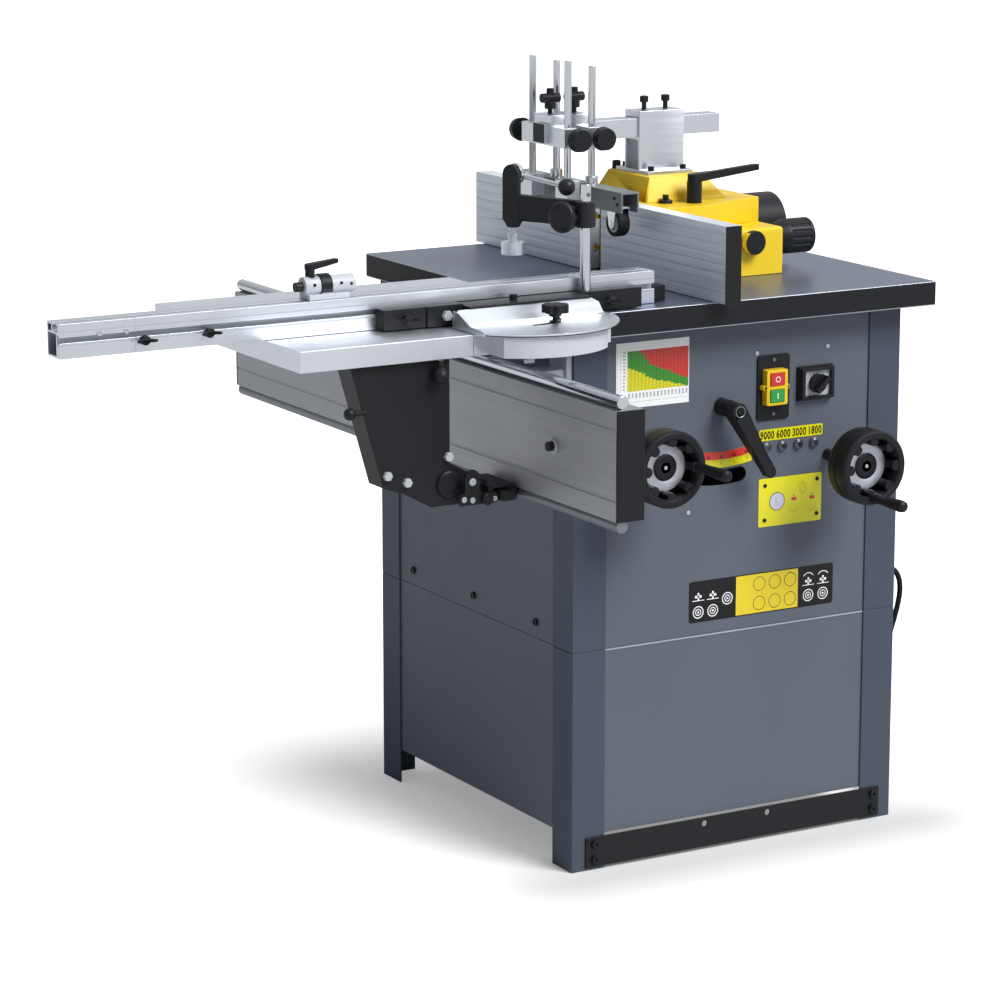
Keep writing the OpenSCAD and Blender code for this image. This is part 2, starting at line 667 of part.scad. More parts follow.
// Mitre fence assembly
flange_y = -50;
slot_mid_r = 58;
knob_a = -54;
module mitre_bracket() at_foot() color("#d8dce2") {
    difference() {
        intersection() {
            rod_z([-115, -48, table_top + 1], 3, flange_r);
            box([-235, -200, table_top], [22, flange_y + 2, table_top + 5]);
        }
        translate([pivot_x, pivot_y, table_top]) for (i = [0:1]) difference() {
            intersection() {
                cylinder(r = slot_mid_r + 4.5, h = 5);
                linear_extrude(5) polygon([[0, 0], for (k = [0:4]) let (a = knob_a - 42 + 21 * k)
                    100 * [cos(a), sin(a)]]);
            }
            translate([0, 0, -1]) cylinder(r = slot_mid_r - 4.5, h = 7);
        }
        for (a = [knob_a - 42, knob_a + 42])
            rod_z([pivot_x + slot_mid_r * cos(a), pivot_y + slot_mid_r * sin(a), table_top], 5, 4.5);
    }
    along_y(flange_y, 2) polygon([[-235, table_top + 1], [22, table_top + 1], [12, 900], [0, 906], [-225, 906], [-235, 898]]);
    along_x_at(-235, 2) polygon([[-140, table_top + 1], [flange_y, table_top + 1], [flange_y, 906], [-66, 904], [-100, 890], [-140, 888]]);
}
module rail_bracket() at_foot() color(black) difference() {
    union() {
        difference() {
            union() {
                box([-338, -30, fence_z + 1], [-208, fence_y, 912]);
                box([-4, -30, fence_z + 1], [100, fence_y, 912]);
            }
            box([-335, -27, fence_z], [-211, fence_y - 3, 909]);
            box([20, -27, fence_z], [97, fence_y - 3, 909]);
        }
        box([-268, -33, fence_z + 1], [-208, -30, 912]);
        box([-209, flange_y - 2, 906], [-3, fence_y, 910]);
        box([-209, fence_y - 4, fence_z + 1], [-3, fence_y, 910]);
        box([fence_right, 5, fence_z], [fence_right + 26, 30, fence_z + 24]);
        translate([-236, -33, 897]) rotate([90, 0, 0]) cylinder(r = 8, h = 6, $fn = 6);
        translate([-120, -26, 910]) cylinder(r = 6, h = 8);
        for (p = [[-300, -30, 897], [45, -30, 897], [-703, fence_y, 898], [-604, fence_y, 900]])
            translate(p) rotate([90, 0, 0]) wing_nut(7);
    }
    rod_z([column_x, column_y, fence_z + 5 - eps], 60, column_r + fit);
}
// Aluminium rail section in the YZ plane: outer square, T-slots above and in front, two chambers
module rail_section() difference() {
    translate([fence_y, fence_z]) square([fence_t, fence_h]);
    translate([fence_y + 12, fence_top - 3]) square([8, 4]);
    translate([fence_y + 7, fence_top - 12]) square([18, 9]);
    translate([fence_y - 1, fence_z + 22]) square([4, 8]);
    translate([fence_y + 3, fence_z + 18]) square([6, 15]);
    translate([fence_y + 12, fence_z + 3]) square([fence_t - 15, fence_h - 18]);
    translate([fence_y + 28, fence_top - 12]) square([fence_t - 31, 9]);
}
module mitre_rail() at_foot() color(alu) translate([fence_left, 0, 0]) along_x(fence_l) rail_section();
tongue_l = 190;
module rail_extension() at_foot() color(alu) {
    translate([extension_left, 0, 0]) along_x(extension_l) rail_section();
    box([fence_left - 40, fence_y + 11, fence_z + 2], [fence_left - 1, fence_y + fence_t - 2, fence_top - 14]);
    box([fence_left - 30, fence_y + 12 + eps, fence_z + 3 + eps],
        [fence_left + tongue_l, fence_y + fence_t - 3 - eps, fence_top - 15 - eps]);
}
stop_z = fence_top + 19;
module flip_stop() at_foot() color("#e8eaee") {
    box([-441, fence_y + 6, fence_top + eps], [-376, fence_y + 38, fence_top + 8]);
    rod_x([-445, fence_y + 22, stop_z], 25, 14);
    color(black) rod_x([-420, fence_y + 22, stop_z], 17, 17);
    rod_x([-403, fence_y + 22, stop_z], 39, 13.5);
    color(black) rod_x([-457, fence_y + 22, stop_z], 12, 7);
    color(black) rod_z([-432, fence_y + 22, stop_z + 10], 20, 7);
    color(black) hull() {
        rod_z([-432, fence_y + 22, stop_z + 24], 8, 8);
        rod_z([-395, fence_y + 15, stop_z + 32], 6, 5);
    }
}
knob_x = pivot_x + slot_mid_r * cos(knob_a);
knob_y = pivot_y + slot_mid_r * sin(knob_a);
module mitre_knob() at_foot() color(black) translate([knob_x, knob_y, table_top]) {
    translate([0, 0, 0.3]) cylinder(r = 4, h = 20);
    translate([0, 0, 4.3]) cylinder(r = 9, h = 2);
    translate([0, 0, 18]) lobed_knob(20, 12, 7);
}

// Hold-down clamp; the arm is built along +X from the column and turned to its direction
module in_arm() translate([column_x, column_y, 0]) rotate(arm_dir) children();
arm_z = 1007;
cam_z = 1075;
module clamp_column() at_foot() color("#c9ced6")
    rod_z([column_x, column_y, fence_z + 5], column_top - fence_z - 5, column_r);
module clamp_arm() at_foot() color("#2f3136") in_arm() {
    difference() {
        union() {
            rod_z([0, 0, arm_z], 38, 15);
            box([5, -7, arm_z], [arm_l + 14, 7, arm_z + 38]);
            hull() {
                box([arm_l - 15, -9, arm_z + 2], [arm_l + 14, 9, arm_z + 3]);
                rod_z([arm_l, 0, arm_z - 12], 14, 9);
            }
            box([arm_l - 16, 1, arm_z], [arm_l + 14, 9, cam_z]);
            rod_y([arm_l - 1, 1, cam_z], 8, 15);
            rod_y([arm_l - 1, -9, cam_z], 18, 4);
        }
        rod_z([0, 0, arm_z - 1], 60, column_r + fit);
        rod_z([arm_l, 0, arm_z - 20], 76, 5 + fit);
    }
    translate([24, 7, arm_z + 15]) rotate([-90, 0, 0]) translate([0, 0, 8]) lobed_knob(22, 15, 8);
}
module cam_lever() at_foot() color("#c9ced6") in_arm() difference() {
    union() {
        rod_y([arm_l - 1, -7.3, cam_z], 8, 16);
        translate([arm_l - 1, -3.3, cam_z]) rotate([0, -97, 0]) rotate_extrude() intersection() {
            translate([0, 10]) square([ball_r, lever_l + ball_r]);
            union() {
                square([4, lever_l]);
                translate([0, lever_l]) circle(r = ball_r);
            }
        }
    }
    rod_y([arm_l - 1, -9, cam_z], 12, 4 + fit);
}
module clamp_plunger() at_foot() color("#d8dce2") in_arm() translate([arm_l, 0, 0]) {
    rod_z([0, 0, 960], 90, 5);
    rod_z([0, 0, 954], 19, 18);
    rod_z([0, 0, 973], 12, 8);
}

// Fence plates, with a T-slot behind and fine grooves in front
module fence_plate(y, l) {
    difference() {
        box([face_x, y, face_z], [face_back, y + l, face_top]);
        for (z = [28, 78]) {
            box([face_back - 4, y - 1, face_z + z], [face_back + 1, y + l + 1, face_z + z + 8]);
            box([face_back - 11, y - 1, face_z + z - 4], [face_back - 4, y + l + 1, face_z + z + 12]);
        }
        for (i = [1:7]) box([face_x - 1, y - 1, face_z + face_h * i / 8],
            [face_x + 0.8, y + l + 1, face_z + face_h * i / 8 + 1.2]);
    }
}
module infeed_fence() at_foot() color("#a0a8b4") {
    fence_plate(cut_front - face_front_l + 4, face_front_l - 4);
    color(black) box([face_x, cut_front - face_front_l, face_z], [face_back, cut_front - face_front_l + 4, face_top]);
}
module outfeed_fence() at_foot() color("#a0a8b4") {
    fence_plate(cut_rear, face_rear_l - 4);
    color(black) box([face_x, cut_rear + face_rear_l - 4, face_z], [face_back, cut_rear + face_rear_l, face_top]);
}
hood_x = face_back + eps;
// Block beside the cutter, its right corner drawn in
module side_block(y1, y2, z2) hull() {
    box([hood_x, y1, table_top + eps], [hood_right - 4, y2, z2 - 4]);
    box([hood_x, y1 + 4, table_top + eps], [hood_right, y2, z2 - 4]);
    box([hood_x, y1 + 4, table_top + eps], [hood_right - 4, y2, z2]);
}
module infeed_block() at_foot() color(yellow) {
    difference() {
        side_block(infeed_front, infeed_back, infeed_top);
        box([hood_x + 12, infeed_front + 6, table_top - 1], [hood_right - 8, infeed_back - 6, infeed_top - 6]);
        rod_x([hood_right - 20, (infeed_front + infeed_back) / 2 - 6, face_z + 53], 40, 8.1);
    }
    color(black) rod_y([410, infeed_front - 6, face_z + 54], 6, 9);
    color(black) rod_y([410, infeed_front - 17, face_z + 54], 12, 19);
}
module hood() at_foot() color(yellow) difference() {
    union() {
        linear_z(infeed_top + 0.5, roof_z) polygon([[hood_x, 169], [341, 169], [472, 215],
            [hood_right, 219], [hood_right, 397], [472, 401], [341, 447], [hood_x, 447]]);
        box([hood_x, infeed_back + 0.5, table_top], [hood_right, spindle_y + 94, roof_z]);
        translate([0, 2 * spindle_y, 0]) mirror([0, 1, 0])
            side_block(infeed_front, infeed_back + 1, infeed_top);
        linear_z(infeed_top - 1, roof_z) polygon([[hood_x, spindle_y + 90], [341, spindle_y + 139],
            [hood_right - 5, spindle_y + 90]]);
        hull() {
            box([270, spindle_y - 80, roof_z - 1], [420, spindle_y + 80, roof_z + 1]);
            box([post_x - 6, spindle_y - 62, hood_top - 1], [post_x + post_l + 12, spindle_y + 62, hood_top]);
        }
        for (y = [-hood_screw_y, hood_screw_y]) rod_z([post_x + 8, spindle_y + y, roof_z - 1], 7, 11);
        translate([299, spindle_y + 56, hood_top - 0.5]) cap_screw(7, 14);
    }
    box([hood_x - 1, spindle_y - 58, table_top - 1], [400, spindle_y + 58, roof_z - 4]);
    box([hood_x - 1, spindle_y - 36, roof_z - 6], [hood_x + 22, spindle_y + 36, roof_z + 8]);
    box([hood_x + 20, infeed_back + 8, table_top - 1], [hood_right - 8, spindle_y + 88, roof_z - 30]);
    rod_x([380, spindle_y, port_z], 120, port_r - 6);
    rod_z([spindle_x, spindle_y, roof_z - 10], 24, 24);
}
port_z = face_z + 55;
hood_screw_y = 88;
module linear_z(z1, z2) translate([0, 0, z1]) linear_extrude(z2 - z1) children();
module dust_port() at_foot() color(black) difference() {
    union() {
        rod_x([hood_right, spindle_y, port_z], port_l, port_r);
        rod_x([hood_right, spindle_y, port_z], 14, port_r + 3);
    }
    rod_x([hood_right - 1, spindle_y, port_z], port_l + 2, port_r - 4);
}
module adjust_knob() at_foot() color(black)
    translate([hood_right + 0.5, (infeed_front + infeed_back) / 2 - 6, face_z + 53]) rotate([0, 90, 0]) difference() {
        union() {
            translate([0, 0, -18]) cylinder(r = 8, h = 20);
            cylinder(r1 = 22, r2 = 28, h = 16);
            translate([0, 0, 16]) cylinder(r = 28, h = 46);
        }
        for (i = [0:15]) rotate(22.5 * i) translate([28.5, 0, 20]) cylinder(r = 2.6, h = 36, $fn = 16);
    }
lever_x = 345;
lever_y = 205;
module lock_lever() at_foot() color(black) {
    rod_z([lever_x, lever_y, roof_z + eps], 34, 12);
    hull() {
        rod_z([lever_x, lever_y, roof_z + 34], 12, 11);
        rod_z([lever_x + 40, lever_y - 4, roof_z + 38], 11, 7);
    }
    hull() {
        rod_z([lever_x + 40, lever_y - 4, roof_z + 38], 11, 7);
        rod_z([lever_x + 107, lever_y - 12, roof_z + 47], 9, 6.5);
    }
}

// Post, cross bar and pressure device
module post() at_foot() color(alu) {
    translate([post_x, 0, 0]) along_x(post_l) difference() {
        union() {
            translate([spindle_y - bar_w / 2 - 4.5, hood_top]) square([bar_w + 9, bar_z + bar_h + 11 - hood_top]);
            translate([spindle_y - 48, hood_top]) square([96, 6]);
        }
        translate([spindle_y - bar_w / 2 - 0.5, bar_z - 0.3]) square([bar_w + 1, bar_h + 0.8]);
        translate([spindle_y - bar_w / 2, hood_top + 6]) square([bar_w, bar_z - hood_top - 11]);
    }
    for (x = [22, post_l - 22]) translate([post_x + x, spindle_y, bar_z + bar_h + 9]) color(black) {
        cylinder(r = 4, h = 14);
        translate([0, 0, 14]) cap_screw(7, 10);
    }
}
module cross_bar() at_foot() color(alu) {
    translate([bar_left + 3, 0, 0]) along_x(bar_l - 6) difference() {
        translate([spindle_y - bar_w / 2, bar_z]) square([bar_w, bar_h]);
        translate([spindle_y - bar_w / 2 + 3, bar_z + 3]) square([bar_w - 6, bar_h - 6]);
    }
    color(black) for (x = [bar_left, bar_left + bar_l - 3])
        box([x, spindle_y - bar_w / 2, bar_z], [x + 3, spindle_y + bar_w / 2, bar_z + bar_h]);
}
module press_block(x) {
    difference() {
        union() {
            box([x - 13, press_y1 - 12.5, bar_z - 4], [x + 13, press_y2 + 12.5, bar_z + bar_h - 3]);
            box([x - 13, spindle_y - 26, bar_z - 4], [x + 13, spindle_y + 26, block_top]);
        }
        box([x - 20, spindle_y - bar_w / 2 - 0.2, bar_z - 0.2], [x + 20, spindle_y + bar_w / 2 + 0.2, bar_z + bar_h + 0.2]);
        for (y = [press_y1, press_y2]) rod_z([x, y, bar_z - 10], 60, press_rod_r + fit);
    }
    color(black) {
        translate([x, spindle_y, block_top - 3]) cylinder(r = 4, h = 14);
        rod_z([x, spindle_y, block_top + 8], 12, 9);
        rod_x([x - 16, spindle_y, block_top + 25], 32, 7.5);
        rod_z([x, spindle_y, block_top + 16], 24, 6);
        for (s = [-1, 1]) translate([x, spindle_y + s * (pair_w / 2 + 12), bar_z + 11]) rotate([-90 * s, 0, 0]) {
            cylinder(r = 4, h = 16);
            translate([0, 0, 14]) cylinder(r = 12, h = 8);
            translate([0, 0, 20]) cylinder(r1 = 19, r2 = 17, h = 14);
        }
    }
}
module press_blocks() at_foot() color("#d2d6dc") {
    press_block(shoe_x);
    press_block(roller_x);
}
module shoe_rods() at_foot() color("#c9ced6") for (y = [press_y1, press_y2]) {
    rod_z([shoe_x, y, channel_z + 10], shoe_rod_l, press_rod_r);
    color(alu) box([shoe_x - 12, y - 17, channel_z + 7], [shoe_x + 12, y + 17, channel_z + 42]);
}
wheel_y1 = spindle_y - 133;
wheel_y2 = spindle_y + 133;
module roller_rods() at_foot() color("#c9ced6") {
    for (y = [press_y1, press_y2]) rod_z([roller_x, y, channel_z + 31], roller_rod_l - 10, press_rod_r);
    for (y = [press_y1, press_y2]) rod_z([roller_x, y, channel_z + 31], 14, press_rod_r + 4);
    difference() {
        box([roller_x - 16, spindle_y - 168, channel_z], [roller_x + 16, spindle_y + 168, channel_z + 32]);
        box([roller_x - 13, spindle_y - 169, channel_z - 1], [roller_x + 13, spindle_y + 169, channel_z + 29]);
    }
    for (y = [wheel_y1, wheel_y2]) difference() {
        hull() {
            box([roller_x - 13, y - 14, channel_z + 8], [roller_x + 13, y + 14, channel_z + 9]);
            rod_x([roller_x - 13, y, axle_z], 26, 8);
        }
        box([roller_x - 11, y - 30, axle_z - 20], [roller_x + 11, y + 30, channel_z + 7]);
    }
    for (y = [wheel_y1, wheel_y2]) rod_x([roller_x - 14, y, axle_z], 28, 4);
}
module press_roller(y) color(black) difference() {
    rod_x([roller_x - 10, y, axle_z], 20, roller_r);
    rod_x([roller_x - 11, y, axle_z], 22, 4 + fit);
}
module front_roller() at_foot() press_roller(wheel_y1);
module rear_roller() at_foot() press_roller(wheel_y2);

// Mains lead: gland, free run, coil and plug
module cable_gland() at_foot() color(black) {
    translate([cab_w - post_t, gland_y, gland_z]) rotate([0, 90, 0]) cylinder(r = 13, h = 8, $fn = 6);
    rod_x([cab_w - 12, gland_y, gland_z], 14, 9.8);
    translate([cab_w + 5, gland_y, gland_z]) rotate([0, 90, 0]) cylinder(r1 = 10, r2 = 6.5, h = relief_l);
}
relief_l = 27;
lead_r = lead_d / 2;
// Corners of the lead's way, chosen by hand, from the gland to the coil
way = [[634, 76, 393], [648, 76, 392], [661, 76, 384], [669, 76, 368], [671, 77, 349], [669, 79, 328],
    [664, 81, 305], [658, 84, 280], [652, 88, 250], [648, 91, 215], [645, 94, 180], [643, 97, 145],
    [642, 100, 110], [642, 104, 78], [643, 110, 50], [645, 121, 27], [648, 138, 11], [652, 160, 4.5],
    [656, 195, 4.5], [660, 245, 4.5], [661, 300, 4.5], [660, 360, 4.5], [656, 420, 4.5],
    [650, 490, 4.5], [642, 560, 4.5], [630, 630, 4.5], [612, 700, 4.5], [584, 752, 4.5],
    [550, 784, 4.5], [512, 797, 4.5], [480, 798, 4.5]];
coil_step = lead_d + 2;
coil_r_in = 39;
coil_r_out = coil_r_in + coil_step * coil_turns;
coil_c = [471, 798 - coil_r_out];
coil_all = 2 * coil_turns + 0.5;
// Radius, height and place of the coil's middle line after u turns
function coil_r(u) = u < coil_turns ? coil_r_out - coil_step * u
    : u < coil_turns + 0.5 ? coil_r_in : coil_r_in + coil_step * (u - coil_turns - 0.5);
function coil_z(u) = lead_r + coil_step * (u < coil_turns ? 0 : u > coil_turns + 0.5 ? 1
    : (1 - cos(360 * (u - coil_turns))) / 2);
function coil_at(u) = [coil_c[0] - coil_r(u) * sin(360 * u), coil_c[1] + coil_r(u) * cos(360 * u), coil_z(u)];
coil_rings = 24;
coil_end_a = 360 * coil_all;
coil_out = [-cos(coil_end_a), -sin(coil_end_a), 0];
coil_line = concat([[480, 798, lead_r]],
    [for (i = [0:coil_rings * coil_all]) coil_at(i / coil_rings)],
    [coil_at(coil_all) + lead_d * coil_out]);
// Least clear distance between turns that lie at least half a turn apart along the tube
coil_gap = min([for (i = [0:len(coil_line) - 1], j = [i + coil_rings / 2:1:len(coil_line) - 1])
    norm(coil_line[i] - coil_line[j])]) - lead_d;
function unit(v) = v / norm(v);
function heading(p, i) = let (n = len(p) - 1) unit(p[min(i + 1, n)] - p[max(i - 1, 0)]);
// Tube along a list of points, its rings square to the way; side is never along the way
module tube(p, r, sides, side) {
    n = len(p);
    rings = [for (i = [0:n - 1]) let (t = heading(p, i), a = unit(cross(side, t)), b = cross(t, a))
        for (k = [0:sides - 1]) p[i] + r * (a * cos(360 * k / sides) + b * sin(360 * k / sides))];
    walls = [for (i = [0:n - 2], k = [0:sides - 1]) let (a = i * sides + k, b = i * sides + (k + 1) % sides)
        each [[a, a + sides, b], [b, a + sides, b + sides]]];
    ends = [for (k = [1:sides - 2]) each [[0, k, k + 1], [(n - 1) * sides, (n - 1) * sides + k + 1, (n - 1) * sides + k]]];
    polyhedron(rings, concat(walls, ends), convexity = 10);
}
// Rounded way through the corners: each span of three is cut by its quarter points
function smooth(p) = concat([p[0]], [for (i = [1:len(p) - 2]) each [
    p[i] * 0.75 + p[i - 1] * 0.25 + (p[i] - p[i - 1] / 2 - p[i + 1] / 2) * 0.06,
    p[i] * 0.75 + p[i + 1] * 0.25 + (p[i] - p[i - 1] / 2 - p[i + 1] / 2) * 0.06]], [p[len(p) - 1]]);
module cord_run() at_foot() color(black) tube(smooth(way), lead_r, 8, unit([1, 1, 1]));
module cord_coil() at_foot() color(black) tube(coil_line, lead_r, 6, [0, 0, 1]);
plug_at = coil_line[len(coil_line) - 1];
plug_relief = 50;
module plug() at_foot() color(black) translate(plug_at)
    rotate(coil_end_a + 180) {
        rod_x([0, 0, 0], plug_relief, 6);
        translate([plug_relief - 4, -17, -plug_at[2]]) cube([38, 34, 29]);
        for (s = [-1, 1]) rod_x([plug_relief + 32, s * 9.5, 0], 21, 2.4);
    }
echo(coil_gap = coil_gap);

corner_posts();
cabinet_panels();
front_panel();
foot_bar();
fixed_screws();
table();
table_rings();
trunnion_rails();
switch_box();
panel_plates();
beam();
beam_rods();
beam_caps();
beam_brackets();
hood();
dust_port();
post();
cable_gland();
cord_run();
cord_coil();
plug();
tilt_cradle();
quill();
motor();
drive_belt();
spindle();
motor_pulley();
height_wheel();
height_handle();
tilt_wheel();
tilt_handle();
tilt_lock_lever();
start_button();
stop_button();
selector_knob();
sliding_table();
support_arm();
table_rollers();
mitre_block();
mitre_bracket();
rail_bracket();
mitre_rail();
rail_extension();
flip_stop();
mitre_knob();
clamp_column();
clamp_arm();
cam_lever();
clamp_plunger();
infeed_fence();
outfeed_fence();
infeed_block();
adjust_knob();
lock_lever();
cross_bar();
press_blocks();
shoe_rods();
roller_rods();
front_roller();
rear_roller();
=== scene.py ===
import json
import math
import bmesh
import bpy
import numpy as np
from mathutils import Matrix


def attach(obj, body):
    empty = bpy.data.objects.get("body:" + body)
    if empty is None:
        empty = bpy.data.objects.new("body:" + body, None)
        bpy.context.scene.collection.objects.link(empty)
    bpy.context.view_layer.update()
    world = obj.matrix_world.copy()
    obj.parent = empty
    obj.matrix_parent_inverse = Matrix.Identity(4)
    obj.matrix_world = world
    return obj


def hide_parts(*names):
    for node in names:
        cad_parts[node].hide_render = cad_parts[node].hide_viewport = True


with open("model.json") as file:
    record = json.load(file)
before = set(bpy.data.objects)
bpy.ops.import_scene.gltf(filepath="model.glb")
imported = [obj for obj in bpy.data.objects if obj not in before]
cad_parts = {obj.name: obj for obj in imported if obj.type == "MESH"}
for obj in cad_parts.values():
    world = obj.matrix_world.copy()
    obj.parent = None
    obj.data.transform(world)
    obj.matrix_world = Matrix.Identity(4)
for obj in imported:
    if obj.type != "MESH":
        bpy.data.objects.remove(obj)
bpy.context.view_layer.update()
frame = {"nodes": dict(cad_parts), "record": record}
nodes = frame["nodes"]
bodyOf = {n: b for b, group in frame["record"]["behaviour"]["bodies"].items() for n in group}
slotOf = {row["node"]: row["material_slot"] for row in frame["record"]["subparts"]}
scene = bpy.context.scene

# everything below is given in mm from the cabinet's front left foot; shift takes it to the frame, in metres
shift = np.array([96.5, -214.0, 0.0])


def place(points):
    return (np.asarray(points, float) + shift) * 0.001


# camera: eye in mm, turn and tilt in radians, focal length in pixels of a picture 1000 wide
view = {"eye": (-2731.29, -4504.34, 1757.81), "turn": -0.5241, "tilt": -0.2181,
        "focal": 3576.63, "picture": 1000, "sensor": 36}
camera = bpy.data.objects.new("camera", bpy.data.cameras.new("camera"))
camera.location = place(view["eye"])
camera.rotation_euler = (math.pi / 2 + view["tilt"], 0, view["turn"])
camera.data.sensor_width = view["sensor"]
camera.data.lens = view["focal"] / view["picture"] * view["sensor"]
camera.data.clip_end = 100
scene.collection.objects.link(camera)
scene.camera = camera


def linear(code):
    # sRGB hex code to linear red, green, blue and alpha
    c = np.array([int(code[i:i + 2], 16) for i in (1, 3, 5)]) / 255
    return [*np.where(c <= 0.04045, c / 12.92, ((c + 0.055) / 1.055) ** 2.4), 1.0]


def addNode(tree, kind, sockets=(), **settings):
    # a shader node with its settings; a socket's value is a number or another node's output
    node = tree.nodes.new("ShaderNode" + kind)
    for key, value in settings.items():
        setattr(node, key, value)
    for key, value in dict(sockets).items():
        if isinstance(value, bpy.types.NodeSocket):
            tree.links.new(value, node.inputs[key])
        else:
            node.inputs[key].default_value = value
    return node


def startMaterial(name, code, rough, metal=0.0, **sockets):
    material = bpy.data.materials.new(name)
    material.use_nodes = True
    tree = material.node_tree
    shader = tree.nodes["Principled BSDF"]
    shader.inputs["Base Color"].default_value = linear(code)
    shader.inputs["Roughness"].default_value = rough
    shader.inputs["Metallic"].default_value = metal
    for key, value in sockets.items():
        shader.inputs[key].default_value = value
    where = addNode(tree, "TexCoord").outputs["Object"]
    return material, tree, shader, where


def noise(tree, where, sizeMm, stretch=(1, 1, 1), detail=2.0, rough=0.5):
    # features of about sizeMm, longer along an axis by its stretch
    at = addNode(tree, "Mapping", {"Vector": where, "Scale": [1 / s for s in stretch]}).outputs["Vector"]
    grain = {"Vector": at, "Scale": 1000 / sizeMm, "Detail": detail, "Roughness": rough}
    return addNode(tree, "TexNoise", grain).outputs["Fac"]


def spread(tree, value, low, high):
    # noise from a quarter to three quarters becomes low to high
    span = {"Value": value, "From Min": 0.25, "From Max": 0.75, "To Min": low, "To Max": high}
    return addNode(tree, "MapRange", span).outputs["Result"]


def tint(tree, shader, value, code, amount):
    # colour drifts by a few per cent either way
    darker, lighter = np.array(linear(code)), np.array(linear(code))
    darker[:3] *= 1 - amount
    lighter[:3] = np.minimum(1, lighter[:3] * (1 + amount))
    mixed = addNode(tree, "Mix", {"Factor": value}, data_type="RGBA")
    # several sockets of a Mix node share a name; one of each holds a colour
    first, second = [s for s in mixed.inputs if s.name in ("A", "B") and s.type == "RGBA"]
    first.default_value, second.default_value = list(darker), list(lighter)
    colour = [s for s in mixed.outputs if s.type == "RGBA"][0]
    tree.links.new(colour, shader.inputs["Base Color"])


def relief(tree, shader, height, depthMm):
    bump = addNode(tree, "Bump", {"Height": height, "Distance": depthMm / 1000, "Strength": 1.0})
    tree.links.new(bump.outputs["Normal"], shader.inputs["Normal"])


sheen = {"powder": 0.32, "dark": 0.24, "foilCoat": 0.25, "foilCoatRough": 0.2}
drawnLength = 260  # the lines of drawn metal are this many times longer than wide


def powderCoat(name, code, rough=0.45, grainMm=1.6, depthMm=0.03):
    # baked polyester powder: soft sheen with a fine orange peel
    skin = {"Specular IOR Level": sheen["powder"]}
    material, tree, shader, where = startMaterial(name, code, rough, **skin)
    peel = noise(tree, where, grainMm)
    drift = noise(tree, where, 220, detail=1)
    tint(tree, shader, drift, code, 0.05)
    tree.links.new(spread(tree, peel, rough - 0.05, rough + 0.07), shader.inputs["Roughness"])
    relief(tree, shader, peel, depthMm)
    return material


def castEnamel(name, code, rough=0.5, grainMm=3.2, depthMm=0.12):
    # brushed enamel over a sand casting: the sand's grain still shows
    material, tree, shader, where = startMaterial(name, code, rough)
    sand = noise(tree, where, grainMm, detail=4)
    tint(tree, shader, sand, code, 0.12)
    relief(tree, shader, sand, depthMm)
    return material


def drawnMetal(name, code, rough, along, lineMm=0.7, depthMm=0.012, metal=1.0, drift=0.05, streak=0.0):
    # drawn or ground metal: fine lines run along one axis and widen the highlight across it
    material, tree, shader, where = startMaterial(name, code, rough, metal)
    stretch = [1, 1, 1]
    stretch["xyz".index(along)] = drawnLength
    lines = noise(tree, where, lineMm, stretch, detail=3)
    cloud = noise(tree, where, 90, detail=2)
    if streak:
        # streaks of the die show as lighter and darker bands along the section
        bands = spread(tree, noise(tree, where, lineMm * 5, stretch, detail=3), 0, 1)
        blend = {"Value": streak, "To Min": cloud, "To Max": bands}
        cloud = addNode(tree, "MapRange", blend).outputs["Result"]
    tint(tree, shader, cloud, code, drift)
    tree.links.new(spread(tree, lines, rough - 0.08, rough + 0.1), shader.inputs["Roughness"])
    relief(tree, shader, lines, depthMm)
    return material


def mouldedPlastic(name, code, rough=0.42, grainMm=1.1, depthMm=0.02, amount=0.08):
    # glass-filled nylon or ABS from a spark-eroded mould: even fine grain, low gloss
    material, tree, shader, where = startMaterial(name, code, rough)
    grain = noise(tree, where, grainMm, detail=2)
    tint(tree, shader, noise(tree, where, 30), code, amount)
    tree.links.new(spread(tree, grain, rough - 0.06, rough + 0.08), shader.inputs["Roughness"])
    relief(tree, shader, grain, depthMm)
    return material


def printedFoil(name, code, rough=0.3):
    # screen print under a clear foil: flat colour, even gloss, slight waviness
    coat = {"Coat Weight": sheen["foilCoat"], "Coat Roughness": sheen["foilCoatRough"]}
    material, tree, shader, where = startMaterial(name, code, rough, **coat)
    tint(tree, shader, noise(tree, where, 25, detail=1), code, 0.03)
    relief(tree, shader, noise(tree, where, 18, detail=1), 0.03)
    return material


